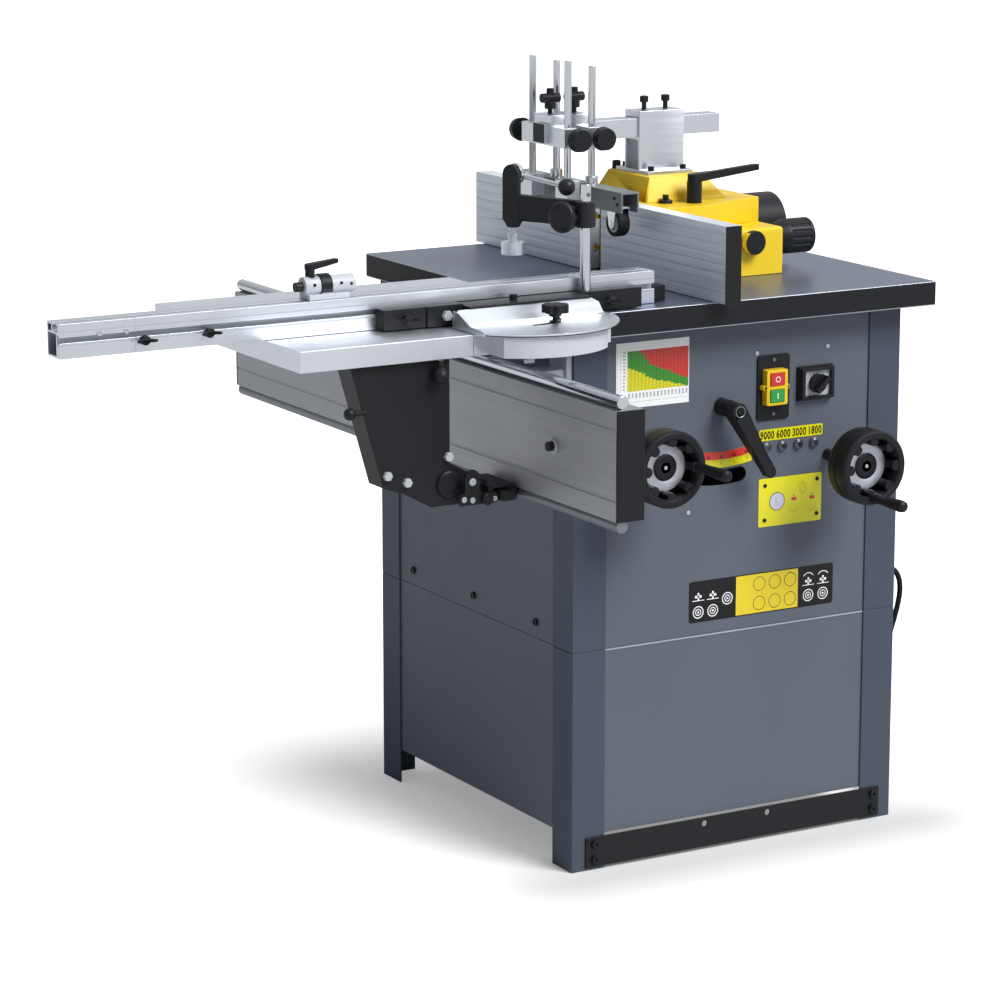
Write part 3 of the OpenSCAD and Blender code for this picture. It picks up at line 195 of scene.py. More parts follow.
finish = {  # key: the material, from its name, colour, roughness, grain in mm and depth in mm
    "legCoat": powderCoat("blueGreyPowderCoat", "#464e5d", 0.46),
    "panelCoat": powderCoat("greyPowderCoat", "#5d6470", 0.44),
    "blackCoat": powderCoat("blackPowderCoat", "#1d1e21", 0.42, 1.4, 0.03),
    "castBlack": castEnamel("blackCastEnamel", "#26272c", 0.46),
    "castGrey": castEnamel("greyCastEnamel", "#565b66", 0.5),
    "tableIron": drawnMetal("groundCastIron", "#7c8398", 0.36, "x", 0.9, 0.006, 0.75),
    "tableEdge": castEnamel("blackTableEnamel", "#1b1c20", 0.44, 2.6, 0.08),
    # painted highlight: the table's rounded edges are paler than its top and sides
    "edgeHighlight": drawnMetal("tableEdgeHighlight", "#aeb3bd", 0.35, "x", 0.8, 0.01),
    "aluX": drawnMetal("extrudedAluminium", "#dfe3e9", 0.34, "x"),
    "aluPlate": drawnMetal("planedAluminiumPlate", "#e4e8ee", 0.4, "x", 1.0, 0.01),
    "aluCast": castEnamel("dieCastAluminium", "#c9cdd4", 0.4, 1.6, 0.03),
    "beamAlu": drawnMetal("naturalAnodisedAluminium", "#a8aab0", 0.5, "y", 1.2, 0.02, 0.55, 0.1, 0.7),
    "fenceAlu": drawnMetal("greyAnodisedAluminium", "#e6edfa", 0.48, "y", 0.8, 0.02, 0.5, 0.14, 0.8),
    "chrome": drawnMetal("hardChrome", "#d5d9de", 0.12, "z", 0.6, 0.002, 1.0, 0.02),
    "zinc": castEnamel("zincPlatedSteel", "#b5b9bf", 0.32, 2.0, 0.02),
    "steel": drawnMetal("turnedSteel", "#a9adb4", 0.28, "x", 0.5, 0.006),
    "blackOxide": mouldedPlastic("blackenedSteel", "#1d1e21", 0.35, 1.5, 0.015),
    "nylon": mouldedPlastic("blackNylon", "#1c1d21", 0.42),
    "bakelite": mouldedPlastic("blackPhenolic", "#25272d", 0.3, 1.8, 0.008),
    "rubber": mouldedPlastic("blackRubber", "#161719", 0.62, 0.9, 0.03),
    "yellow": powderCoat("yellowEnamel", "#ffd52c", 0.34, 2.0, 0.025),
    "yellowPlastic": mouldedPlastic("yellowPolycarbonate", "#f0c813", 0.35),
    "white": printedFoil("whiteFoil", "#fafbfd"),
    "foilYellow": printedFoil("yellowFoil", "#e6df12"),
    "foilAmber": printedFoil("amberFoil", "#e8cf1a"),
    "foilRed": printedFoil("redFoil", "#d8352c"),
    "foilGreen": printedFoil("greenLeafFoil", "#3c9426"),
    "foilBlack": printedFoil("blackFoil", "#0c0d10"),
    "silverFoil": printedFoil("silverFoil", "#b9bdc4", 0.34),
    "redButton": mouldedPlastic("redButtonPlastic", "#c9302a", 0.3),
    "greenButton": mouldedPlastic("greenButtonPlastic", "#2c9a45", 0.3),
    "foilAmberDark": printedFoil("ochreInk", "#7d7412"),
    "lens": mouldedPlastic("frostedLens", "#cfcfe0", 0.22, 2.0, 0.01, 0.15),
    "ringAlu": drawnMetal("satinAluminiumRing", "#c3c4ce", 0.42, "z", 0.6, 0.01, 0.9),
    "whiteNylon": mouldedPlastic("whiteNylon", "#d9dbe0", 0.4),
    "lamp": drawnMetal("bezelNickel", "#8e939c", 0.3, "y", 0.5, 0.004),
    "channelGrey": powderCoat("greyHammerCoat", "#7c8081", 0.4, 2.2, 0.03),
    # painted highlight: a paler copy of the panel paint for the seam lip
    "seamHighlight": powderCoat("greyPowderCoatPaintedHighlight", "#a7aeb9", 0.4),
    # painted shade: darker aluminium for the rail's slots and grooves
    "grooveShade": drawnMetal("aluminiumGroovePaintedShade", "#bcc1c9", 0.5, "x", 0.8, 0.01, 0.45),
    # painted shade: the beam's lower rods are darker than the chrome above
    "lowerRodShade": drawnMetal("rodSteelPaintedShade", "#83878d", 0.42, "y", 0.6, 0.01, 0.7),
    "motorPaint": castEnamel("motorEnamel", "#4f5560", 0.42, 2.4, 0.05),
}
darkFaces = ("blackCoat", "castBlack", "tableEdge", "nylon", "bakelite", "rubber", "blackOxide", "foilBlack")
for name in darkFaces:
    # only a thin skin of gloss, so the faces stay dark
    shader = finish[name].node_tree.nodes["Principled BSDF"]
    shader.inputs["Specular IOR Level"].default_value = sheen["dark"]
print("materials made:", len(finish))

# corners nearer than this, in metres, are one; flat: faces within this many degrees are joined
weld = {"solid": 4e-6, "turned": 1e-6, "sliver": 1e-7, "flat": 0.6}
# post of the clamp: its foot in plan, in mm, and the arm's turn about it
clampArm = {"x": 8, "y": -18, "turn": math.radians(111.7)}


def keep(piece, body, *replaced, slot):
    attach(piece, body)
    if replaced:
        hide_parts(*replaced)


def newPiece(name, points, faces, materials, smooth, faceMaterial=None):
    # points in mm from the cabinet's foot; faces as lists of corner numbers
    mesh = bpy.data.meshes.new(name)
    mesh.from_pydata(place(points).tolist(), [], [list(map(int, f)) for f in faces])
    mesh.update()
    for m in materials:
        mesh.materials.append(m)
    if faceMaterial is not None:
        mesh.polygons.foreach_set("material_index", np.asarray(faceMaterial, np.int32))
    piece = bpy.data.objects.new(name, mesh)
    scene.collection.objects.link(piece)
    if smooth:
        mesh.shade_smooth()
        mesh.set_sharp_from_angle(angle=math.radians(smooth))
    return piece


def gridFaces(rows, columns, wrapColumns=False):
    # quads between neighbours of a rows by columns grid of points
    i, j = np.meshgrid(np.arange(rows - 1), np.arange(columns - (not wrapColumns)), indexing="ij")
    left, right = i * columns + j, i * columns + (j + 1) % columns
    return np.stack([left, right, right + columns, left + columns], -1).reshape(-1, 4).tolist()


def finishEdges(piece, width, segments, angle, edgeMaterial):
    # rounds the edges sharper than angle by width mm
    bevel = piece.modifiers.new("edges", "BEVEL")
    bevel.width, bevel.segments, bevel.limit_method = width / 1000, segments, "ANGLE"
    bevel.angle_limit, bevel.use_clamp_overlap, bevel.harden_normals = math.radians(angle), False, True
    if edgeMaterial is not None:
        bevel.material = edgeMaterial


def dressed(node, material, width, segments=2, angle=35, extra=(), choose=None, edgeMaterial=None):
    # a copy of the solid with its coplanar triangles joined and its edges rounded by width mm
    mesh = nodes[node].data.copy()
    mesh.name = node + "Dressed"
    mesh.materials.clear()
    for m in [material, *extra]:
        mesh.materials.append(m)
    work = bmesh.new()
    work.from_mesh(mesh)
    bmesh.ops.remove_doubles(work, verts=work.verts, dist=weld["solid"])
    bmesh.ops.dissolve_limit(work, angle_limit=math.radians(weld["flat"]), verts=work.verts, edges=work.edges)
    for face in work.faces:
        face.smooth = True
        face.material_index = 0
        if choose:
            c = np.array(face.calc_center_median()) * 1000 - shift
            face.material_index = choose(c, np.array(face.normal))
    work.to_mesh(mesh)
    work.free()
    if mesh.attributes.get("sharp_face"):
        mesh.attributes.remove(mesh.attributes["sharp_face"])
    mesh.shade_smooth()
    mesh.set_sharp_from_angle(angle=math.radians(angle))
    piece = bpy.data.objects.new(node + "Dressed", mesh)
    scene.collection.objects.link(piece)
    if width:
        finishEdges(piece, width, segments, angle, edgeMaterial)
    keep(piece, bodyOf[node], node, slot=slotOf[node])


def zones(*rows):
    # material number of the first box (lowest, highest corner in mm) that holds the face's centre
    def choose(c, n):
        for number, low, high in rows:
            if np.all(c >= low) and np.all(c <= high):
                return number
        return 0
    return choose


def lathe(profile, turns, axis, centre):
    # (radius, height) pairs turned about an axis: x = r cos a, y = r sin a, z = h
    r, h = np.array(profile, float).T
    a = np.linspace(0, 2 * np.pi, turns, endpoint=False)
    u, v, w = np.outer(r, np.cos(a)), np.outer(r, np.sin(a)), np.outer(h, np.ones(turns))
    c, d = math.cos(clampArm["turn"]), math.sin(clampArm["turn"])
    ways = {"z": (u, v, w), "x": (w, u, v), "-x": (-w, -u, v), "-y": (u, -w, v),
            "acrossArm": (-u * c - w * d, w * c - u * d, v)}
    return np.stack(ways[axis], -1).reshape(-1, 3) + centre, gridFaces(len(r), turns, True)


def turned(name, profile, material, body, slot, axis="-y", centre=(0, 0, 0), turns=64, smooth=35,
           replaced=()):
    # a lathed solid; a profile that returns to its first point is a ring
    points, faces = lathe(profile, turns, axis, centre)
    piece = newPiece(name, points, faces, [material], 0)
    work = bmesh.new()
    work.from_mesh(piece.data)
    bmesh.ops.remove_doubles(work, verts=work.verts, dist=weld["turned"])
    bmesh.ops.dissolve_degenerate(work, edges=work.edges, dist=weld["sliver"])
    bmesh.ops.recalc_face_normals(work, faces=work.faces)
    work.to_mesh(piece.data)
    work.free()
    piece.data.shade_smooth()
    piece.data.set_sharp_from_angle(angle=math.radians(smooth))
    keep(piece, body, *replaced, slot=slot)


# mains lead: its way from the gland down to the floor and round to the back, as in the CAD
leadWay = np.array([
    [634, 76, 393], [648, 76, 392], [661, 76, 384], [669, 76, 368], [671, 77, 349], [669, 79, 328],
    [664, 81, 305], [658, 84, 280], [652, 88, 250], [648, 91, 215], [645, 94, 180], [643, 97, 145],
    [642, 100, 110], [642, 104, 78], [643, 110, 50], [645, 121, 27], [648, 138, 11], [652, 160, 4.5],
    [656, 195, 4.5], [660, 245, 4.5], [661, 300, 4.5], [660, 360, 4.5], [656, 420, 4.5], [650, 490, 4.5],
    [642, 560, 4.5], [630, 630, 4.5], [612, 700, 4.5], [584, 752, 4.5], [550, 784, 4.5], [512, 797, 4.5],
    [480, 798, 4.5]])
# coil is the far point of the coil's outer turn, inner its smallest radius, tail the straight end in the plug
lead = {"diameter": 9.0, "coil": (471, 798), "turns": 2, "step": 11.0, "inner": 39.0, "tail": 9,
        "sides": 16, "perTurn": 48}


def coilLine():
    # winds in on the floor, climbs one layer in half a turn, then winds out on top
    turns, step, inner = lead["turns"], lead["step"], lead["inner"]
    outer = inner + step * turns
    u = np.linspace(0, 2 * turns + 0.5, int(lead["perTurn"] * (2 * turns + 0.5)) + 1)
    r = np.where(u < turns, outer - step * u, np.maximum(inner, inner + step * (u - turns - 0.5)))
    climb = (1 - np.cos(2 * np.pi * np.clip(u - turns, 0, 0.5))) / 2
    z = lead["diameter"] / 2 + step * climb
    x, y = lead["coil"]
    a = 2 * np.pi * u
    return np.stack([x - r * np.sin(a), y - outer + r * np.cos(a), z], -1), a[-1]


def rounded(p, rounds=2, near=0.75, bulge=0.06):
    # each corner is cut at the quarter points of its spans, round after round; bulge keeps it full
    for _ in range(rounds):
        out = (p[1:-1] - (p[:-2] + p[2:]) / 2) * bulge
        before = p[1:-1] * near + p[:-2] * (1 - near) + out
        after = p[1:-1] * near + p[2:] * (1 - near) + out
        p = np.vstack([p[:1], np.stack([before, after], 1).reshape(-1, 3), p[-1:]])
    return p


def tube(name, path, radius, sides, material):
    # rings square to the path: p + r (side cos t + up sin t)
    ahead = np.gradient(path, axis=0)
    ahead /= np.linalg.norm(ahead, axis=1)[:, None]
    side = np.cross([0.577, 0.577, 0.577], ahead)  # the lead never runs this way
    side /= np.linalg.norm(side, axis=1)[:, None]
    up = np.cross(ahead, side)
    t = np.linspace(0, 2 * np.pi, sides, endpoint=False)[None, :, None]
    points = path[:, None] + radius * (side[:, None] * np.cos(t) + up[:, None] * np.sin(t))
    faces = [f[::-1] for f in gridFaces(len(path), sides, True)]
    last = (len(path) - 1) * sides
    faces += [list(range(sides))[::-1], list(range(last, last + sides))]
    return newPiece(name, points.reshape(-1, 3), faces, [material], 60)


coil, coilTurn = coilLine()
leadEnd = coil[-1:] - lead["tail"] * np.array([[math.cos(coilTurn), math.sin(coilTurn), 0]])
leadPath = np.vstack([rounded(leadWay)[:-1], coil, leadEnd])
mainsLead = tube("mainsLead", leadPath, lead["diameter"] / 2, lead["sides"], finish["rubber"])
keep(mainsLead, "machine", "cord_run", "cord_coil", slot="lead_rubber")
place(leadWay[0]).tolist()
place(leadPath).tolist()

# world and gloss: strength of the room for matt faces and in reflections; low, high and left grade it;
# key: the lamp's strength, with its angles and softness in degrees
studio = {"world": 0.42, "gloss": 0.95, "low": 0.45, "high": 1.15, "left": 0.5,
          "key": 2.95, "fromTop": 44, "fromRight": 24, "softness": 30}
# the cabinet on the floor, in metres, and how far from it the paper is still dimmer
footprint = {"centre": (0.3975, 0.0925, 0.0), "half": (0.301, 0.3065, 9.0), "front": -0.26, "reach": 0.36}
# half in mm, below and fade in metres; near and far: the paper's own light beside the cabinet and away
paper = {"colour": "#e6e6e6", "half": 30000, "below": 0.0005, "near": 0.3, "far": 0.85, "fade": 0.14}


def makeStudio():
    world = bpy.data.worlds.new("studio")
    scene.world = world
    world.use_nodes = True
    tree = world.node_tree
    tree.nodes.clear()
    path = addNode(tree, "LightPath")
    seen = addNode(tree, "Math", {0: path.outputs["Is Camera Ray"], 1: path.outputs["Is Transmission Ray"]},
                   operation="MAXIMUM")
    # the room is brightest overhead and darkest low on the left
    way = addNode(tree, "SeparateXYZ", {"Vector": addNode(tree, "TexCoord").outputs["Generated"]})
    upwards = {"Value": way.outputs["Z"], "From Min": -0.1, "From Max": 0.9,
               "To Min": studio["low"], "To Max": studio["high"]}
    across = {"Value": way.outputs["X"], "From Min": -0.9, "From Max": 0.7,
              "To Min": studio["left"], "To Max": 1.0}
    grades = [addNode(tree, "MapRange", span).outputs["Result"] for span in (upwards, across)]
    both = addNode(tree, "Math", {0: grades[0], 1: grades[1]}, operation="MULTIPLY").outputs["Value"]
    rooms = []
    for strength, tone in ((studio["world"], (0.94, 0.97, 1.0, 1)), (studio["gloss"], (0.95, 0.975, 1.0, 1))):
        glow = addNode(tree, "Math", {0: both, 1: strength}, operation="MULTIPLY").outputs["Value"]
        rooms.append(addNode(tree, "Background", {"Color": tone, "Strength": glow}).outputs[0])
    bright = addNode(tree, "Background", {"Color": (1, 1, 1, 1), "Strength": 1.0})
    room = addNode(tree, "MixShader", {0: path.outputs["Is Glossy Ray"], 1: rooms[0], 2: rooms[1]})
    mixed = addNode(tree, "MixShader", {0: seen.outputs[0], 1: room.outputs[0], 2: bright.outputs[0]})
    addNode(tree, "OutputWorld", {"Surface": mixed.outputs[0]})
    key = bpy.data.objects.new("key", bpy.data.lights.new("key", "SUN"))
    key.data.energy = studio["key"]
    key.data.angle = math.radians(studio["softness"])
    key.rotation_euler = (math.radians(studio["fromTop"]), 0, math.radians(studio["fromRight"]))
    scene.collection.objects.link(key)


def makeFloor():
    # pale matt paper; seen directly it is lifted towards white, and it keeps the shadow
    material, tree, shader, where = startMaterial("palePaper", paper["colour"], 0.9,
                                                  **{"Specular IOR Level": 0.0})
    path = addNode(tree, "LightPath")
    # distance from the cabinet's outline: the paper is lit more strongly away from its walls,
    # so the shadow stays close to the feet
    offset = [-c for c in footprint["centre"]]
    middle = addNode(tree, "Mapping", {"Vector": where, "Location": offset}).outputs["Vector"]
    side = addNode(tree, "VectorMath", {0: middle}, operation="ABSOLUTE").outputs["Vector"]
    past = addNode(tree, "VectorMath", {0: side, 1: footprint["half"]}, operation="SUBTRACT")
    outside = addNode(tree, "VectorMath", {0: past.outputs["Vector"], 1: (0, 0, 0)}, operation="MAXIMUM")
    away = addNode(tree, "VectorMath", {0: outside.outputs["Vector"]}, operation="LENGTH").outputs["Value"]
    # in front of the cabinet the paper's own light falls to none, which paints a shadow along the front
    depth = addNode(tree, "SeparateXYZ", {"Vector": where}).outputs["Y"]
    inFront = {"Value": depth, "From Min": footprint["front"], "From Max": footprint["front"] + paper["fade"],
               "To Min": 0.0, "To Max": paper["near"]}
    near = addNode(tree, "MapRange", inFront).outputs["Result"]
    around = {"Value": away, "From Min": 0.0, "From Max": footprint["reach"],
              "To Min": near, "To Max": paper["far"]}
    more = addNode(tree, "MapRange", around, interpolation_type="SMOOTHSTEP").outputs["Result"]
    lift = addNode(tree, "Emission", {"Color": (1, 1, 1, 1), "Strength": more})
    lit = addNode(tree, "AddShader", {0: shader.outputs[0], 1: lift.outputs[0]}).outputs[0]
    mixed = addNode(tree, "MixShader", {0: path.outputs["Is Camera Ray"], 1: shader.outputs[0], 2: lit})
    tree.links.new(mixed.outputs[0], tree.nodes["Material Output"].inputs["Surface"])
    half = paper["half"]
    corners = [[-half, -half, 0], [half, -half, 0], [half, half, 0], [-half, half, 0]]
    floor = newPiece("floor", corners, [[0, 1, 2, 3]], [material], 0)
    floor.location.z = -paper["below"]


makeStudio()
makeFloor()
scene.view_settings.view_transform = "Standard"

# heights and places, in mm, where one finish on a solid gives way to the next
seams = {"tableTop": 880, "tableThick": 20, "leverBall": (37.7, -3.3, 1063.1), "leverBallReach": 17,
         "armKnob": 15.5, "fenceEnds": (-74, 682), "blockKnobs": 1136.3, "blockSides": 66.3,
         "hoodKnobs": 994.3, "hoodSides": 80.6, "hoodLever": 1034.3, "hoodLeverBack": 356.5,
         "spindleLine": 308, "beamRods": 700, "railFront": (-4.5, 5, 897, 915),
         "railTop": (0.5, 21, 917, 929.7), "plateTop": 886, "platePivot": (-122, -45), "plateSlot": (50, 66)}
beyond = 9999


def tableFaces(c, n):
    return 0 if n[2] > 0.9 and c[2] > seams["tableTop"] - seams["tableThick"] else 1


def inArm(c):
    # the clamp arm's own axes: along the arm, across it, height
    x, y = c[0] - clampArm["x"], c[1] - clampArm["y"]
    cosTurn, sinTurn = math.cos(clampArm["turn"]), math.sin(clampArm["turn"])
    return np.array([x * cosTurn + y * sinTurn, y * cosTurn - x * sinTurn, c[2]])


def leverFaces(c, n):
    return 1 if np.linalg.norm(inArm(c) - seams["leverBall"]) < seams["leverBallReach"] else 0


def armFaces(c, n):
    return 1 if inArm(c)[1] > seams["armKnob"] else 0


def fenceFaces(c, n):
    return 1 if abs(n[1]) > 0.9 and min(abs(c[1] - end) for end in seams["fenceEnds"]) < 1 else 0


def blockFaces(c, n):
    return 1 if c[2] > seams["blockKnobs"] or abs(c[1] - seams["spindleLine"]) > seams["blockSides"] else 0


def hoodFaces(c, n):
    knob = c[2] > seams["hoodKnobs"] and abs(c[1] - seams["spindleLine"]) > seams["hoodSides"]
    lever = c[2] > seams["hoodLever"] and c[1] > seams["hoodLeverBack"]
    return 1 if knob or lever else 0


def railFaces(c, n):
    # inside of the slots in front and on top, painted darker as their shade
    for y0, y1, z0, z1 in (seams["railFront"], seams["railTop"]):
        if y0 < c[1] < y1 and z0 < c[2] < z1:
            return 1
    return 0


def rodFaces(c, n):
    # rods below the beam take the darker steel, a painted shade
    return 1 if c[2] < seams["beamRods"] else 0


def slotFaces(c, n):
    # walls of the curved slot in the mitre plate, round the fence's pivot, painted black as the slot's shade
    x, y = seams["platePivot"]
    inner, outer = seams["plateSlot"]
    wall = c[2] < seams["plateTop"] and abs(n[2]) < 0.5
    return 1 if wall and inner < math.hypot(c[0] - x, c[1] - y) < outer else 0


# the rounded edges of the table take the third finish, a painted highlight
dressed("table", finish["tableIron"], 1.5, 3, 35, [finish["tableEdge"], finish["edgeHighlight"]], tableFaces, 2)
dressed("table_rings", finish["tableIron"], 0.4)

regions = {  # node: (finish, bevel, further finishes, which face gets which)
    "beam_caps": ("nylon", 1.0, ["zinc"], zones((1, [-171, -236, 713], [-165.1, -202, 747]))),
    "mitre_rail": ("aluX", 0.4, ["grooveShade"], railFaces),
    "rail_extension": ("aluX", 0.4, ["grooveShade"], railFaces),
    "beam_rods": ("chrome", 0.8, ["lowerRodShade"], rodFaces),
    "mitre_bracket": ("aluPlate", 0.3, ["blackOxide"], slotFaces),
    "press_blocks": ("aluX", 0.7, ["nylon"], blockFaces),
    "post": ("aluX", 0.7, ["blackOxide"], zones((1, [0, 0, 1133.3], [beyond] * 3))),
    "infeed_block": ("yellow", 1.5, ["nylon"], zones((1, [400, 120, 900], [440, 141.9, 990]))),
    "hood": ("yellow", 2.0, ["blackOxide"], hoodFaces),
    "cam_lever": ("chrome", 0.6, ["bakelite"], leverFaces),
    "clamp_arm": ("castBlack", 1.2, ["bakelite"], armFaces),
    "flip_stop": ("aluCast", 0.8, ["nylon"], zones((1, [-460, -20, 930], [-445.2, 60, 1000]),
                                                   (1, [-420.2, -20, 940], [-402.8, 60, 1000]),
                                                   (1, [-460, -20, 964.4], [-380, 60, 1010]))),
    "cross_bar": ("aluX", 0.6, ["nylon"], zones((1, [119, 0, 1000], [123.1, 400, 1200]),
                                                (1, [444.9, 0, 1000], [450, 400, 1200]))),
    "infeed_fence": ("fenceAlu", 0.4, ["nylon"], fenceFaces),
    "outfeed_fence": ("fenceAlu", 0.4, ["nylon"], fenceFaces),
    "switch_box": ("nylon", 0.8, ["yellowPlastic", "silverFoil", "lamp"],
                   zones((1, [336, -16, 697], [386, -0.2, 765]), (2, [415, -4.4, 709], [465, -3.6, 751]),
                         (3, [340, -9, 625], [450, 2.9, 645]))),
    "roller_rods": ("chrome", 0.6, ["channelGrey"], zones((1, [168, 138, 995.9], [202, 480, 1028.1]))),
    "shoe_rods": ("chrome", 0.6, ["aluPlate"], zones((1, [128, 236, 1002.9], [154, 380, 1038.1]))),
    "rail_bracket": ("blackCoat", 0.9, ["zinc"], zones((1, [-246, -41, 887], [-226, -33.2, 907]))),
    "support_arm": ("blackCoat", 0.5, ["zinc"], zones((1, [-400, -107, 660], [-250, -100.2, 720]))),
    "table_rollers": ("nylon", 0.6, ["steel"], zones((1, [-400, -200, 800], [0, 900, 900]))),
    "fixed_screws": ("blackOxide", 0.4, ["zinc"], zones((1, [200, -1, 500], [480, 3.2, 800]))),
    "quill": ("castGrey", 0.6, ["steel"], None),
}
plain = {  # node: (finish, bevel in mm)
    "corner_posts": ("legCoat", 0.8), "cabinet_panels": ("panelCoat", 0.5), "front_panel": ("panelCoat", 0.4),
    "foot_bar": ("blackCoat", 0.6), "trunnion_rails": ("castGrey", 0.5), "beam": ("beamAlu", 0.8),
    "beam_brackets": ("zinc", 0.8), "dust_port": ("nylon", 0.8), "cable_gland": ("nylon", 0.4),
    "plug": ("rubber", 1.5), "tilt_cradle": ("castGrey", 0.8), "motor": ("motorPaint", 1.0),
    "drive_belt": ("rubber", 0.6), "spindle": ("steel", 0.4), "motor_pulley": ("steel", 0.4),
    "height_wheel": ("nylon", 0.8), "height_handle": ("nylon", 0.6), "tilt_wheel": ("nylon", 0.8),
    "tilt_handle": ("nylon", 0.6), "tilt_lock_lever": ("nylon", 0.8), "start_button": ("greenButton", 0.8),
    "stop_button": ("redButton", 0.8), "selector_knob": ("nylon", 0.6), "sliding_table": ("aluPlate", 0.7),
    "mitre_block": ("aluCast", 0.8), "mitre_knob": ("nylon", 0.8), "clamp_column": ("chrome", 0.8),
    "clamp_plunger": ("aluX", 0.6), "adjust_knob": ("nylon", 0.6), "lock_lever": ("nylon", 0.8),
}
for node, (coat, width) in plain.items():
    dressed(node, finish[coat], width)
for node, (coat, width, others, choose) in regions.items():
    dressed(node, finish[coat], width, extra=[finish[o] for o in others], choose=choose)
print("pieces dressed:", len(plain) + len(regions))

# plates lie on the cabinet's front: y of the foil's face, its thickness, and of each print over it
foil = {"face": 2.4, "thick": 0.6, "field": 2.36, "line": 2.35, "figure": 2.34, "cell": 2.32}


def emptySheet():
    return {"points": [], "faces": [], "marks": []}


def addFlat(sheet, outline, front, mark, thick=0.0):
    # a shape on the panel's front: outline anticlockwise in x and z, front is its y or a layer of the foil
    front = foil.get(front, front)
    n, k = len(outline), len(sheet["points"])
    for y in ([front, front + thick] if thick else [front]):
        sheet["points"] += [(x, y, z) for x, z in outline]
    sheet["faces"].append(list(range(k, k + n)))
    if thick:
        sheet["faces"] += [[k + (i + 1) % n, k + i, k + n + i, k + n + (i + 1) % n] for i in range(n)]
    sheet["marks"] += [mark] * (len(sheet["faces"]) - len(sheet["marks"]))


def panelBox(x0, z0, x1, z1, corner=0.0, steps=5):
    # rectangle with rounded corners, anticlockwise
    if not corner:
        return [(x0, z0), (x1, z0), (x1, z1), (x0, z1)]
    left, right, low, high = x0 + corner, x1 - corner, z0 + corner, z1 - corner
    outline = []
    for cx, cz, first in ((right, low, -90), (right, high, 0), (left, high, 90), (left, low, 180)):
        a = np.radians(first + 90 * np.arange(steps + 1) / steps)
        outline += list(zip((cx + corner * np.cos(a)).tolist(), (cz + corner * np.sin(a)).tolist()))
    return outline


def disc(x, z, r, sides=24, start=0.0, end=360.0, inner=None):
    # disc, or an arc band when inner is given; angles from the right, anticlockwise
    a = np.radians(np.linspace(start, end, sides + 1))
    if inner is None:
        return [(x + r * math.cos(t), z + r * math.sin(t)) for t in a[:-1]]
    rim = [(x + r * math.cos(t), z + r * math.sin(t)) for t in a]
    return rim + [(x + inner * math.cos(t), z + inner * math.sin(t)) for t in a[::-1]]


def addRing(sheet, x, z, outer, inner, mark):
    for start in (0, 180):
        addFlat(sheet, disc(x, z, outer, 12, start, start + 180, inner), "figure", mark)


# figures come from Blender's own typeface; tall: height of a figure whose size is 1
figures = {"tall": 0.7, "bold": 0.03, "curve": 3}
digitShapes = {}


def makeDigit(d):
    curve = bpy.data.curves.new("figure", "FONT")
    curve.body, curve.size = d, 1.0
    curve.resolution_u, curve.offset = figures["curve"], figures["bold"]
    holder = bpy.data.objects.new("figure", curve)
    mesh = bpy.data.meshes.new_from_object(holder)
    at = np.array([v.co[:2] for v in mesh.vertices])
    faces = [list(f.vertices)[::1 if f.normal.z > 0 else -1] for f in mesh.polygons]
    at[:, 0] -= (at[:, 0].min() + at[:, 0].max()) / 2
    digitShapes[d] = (at, faces)
    bpy.data.objects.remove(holder)
    bpy.data.curves.remove(curve)
    bpy.data.meshes.remove(mesh)


def addDigits(sheet, text, x, z, height, layer, mark, narrow=0.8, turn=0.0, advance=0.6):
    # plain figures centred on x and z, turned about that point
    for d in sorted(set(text) - set(digitShapes)):
        makeDigit(d)
    size = height / figures["tall"]
    cosTurn, sinTurn = math.cos(turn), math.sin(turn)
    for i, d in enumerate(text):
        at, faces = digitShapes[d]
        px = (at[:, 0] + (i - (len(text) - 1) / 2) * advance) * size * narrow
        pz = (at[:, 1] - figures["tall"] / 2) * size
        k = len(sheet["points"])
        sheet["points"] += [(x + a * cosTurn - b * sinTurn, foil[layer], z + a * sinTurn + b * cosTurn)
                            for a, b in zip(px, pz)]
        sheet["faces"] += [[k + v for v in f] for f in faces]
        sheet["marks"] += [mark] * len(faces)


def keepSheet(name, sheet, inks, body="machine", slot="label_foil", replaced=("panel_plates",)):
    piece = newPiece(name, sheet["points"], sheet["faces"], [finish[i] for i in inks], 30, sheet["marks"])
    keep(piece, body, *replaced, slot=slot)


# red and green: where red ends and green ends down each column, as shares of the width and of the height
chart = {"sheet": (76, 721, 207, 822), "field": (96, 746.6, 205.8, 808.6), "columns": 17, "rows": 24,
         "red": ([0, 0.19, 0.3, 0.357, 0.533, 0.667, 0.84, 0.98, 1],
                 [0, 0, 0.2, 0.34, 0.5, 0.55, 0.69, 0.82, 0.84]),
         "green": ([0.02, 0.13, 0.27, 0.34, 0.49, 0.667, 0.8, 0.93, 1],
                   [0.39, 0.48, 0.6, 0.71, 0.775, 0.85, 0.905, 0.96, 1]),
         "gap": (0.2, 0.14)}


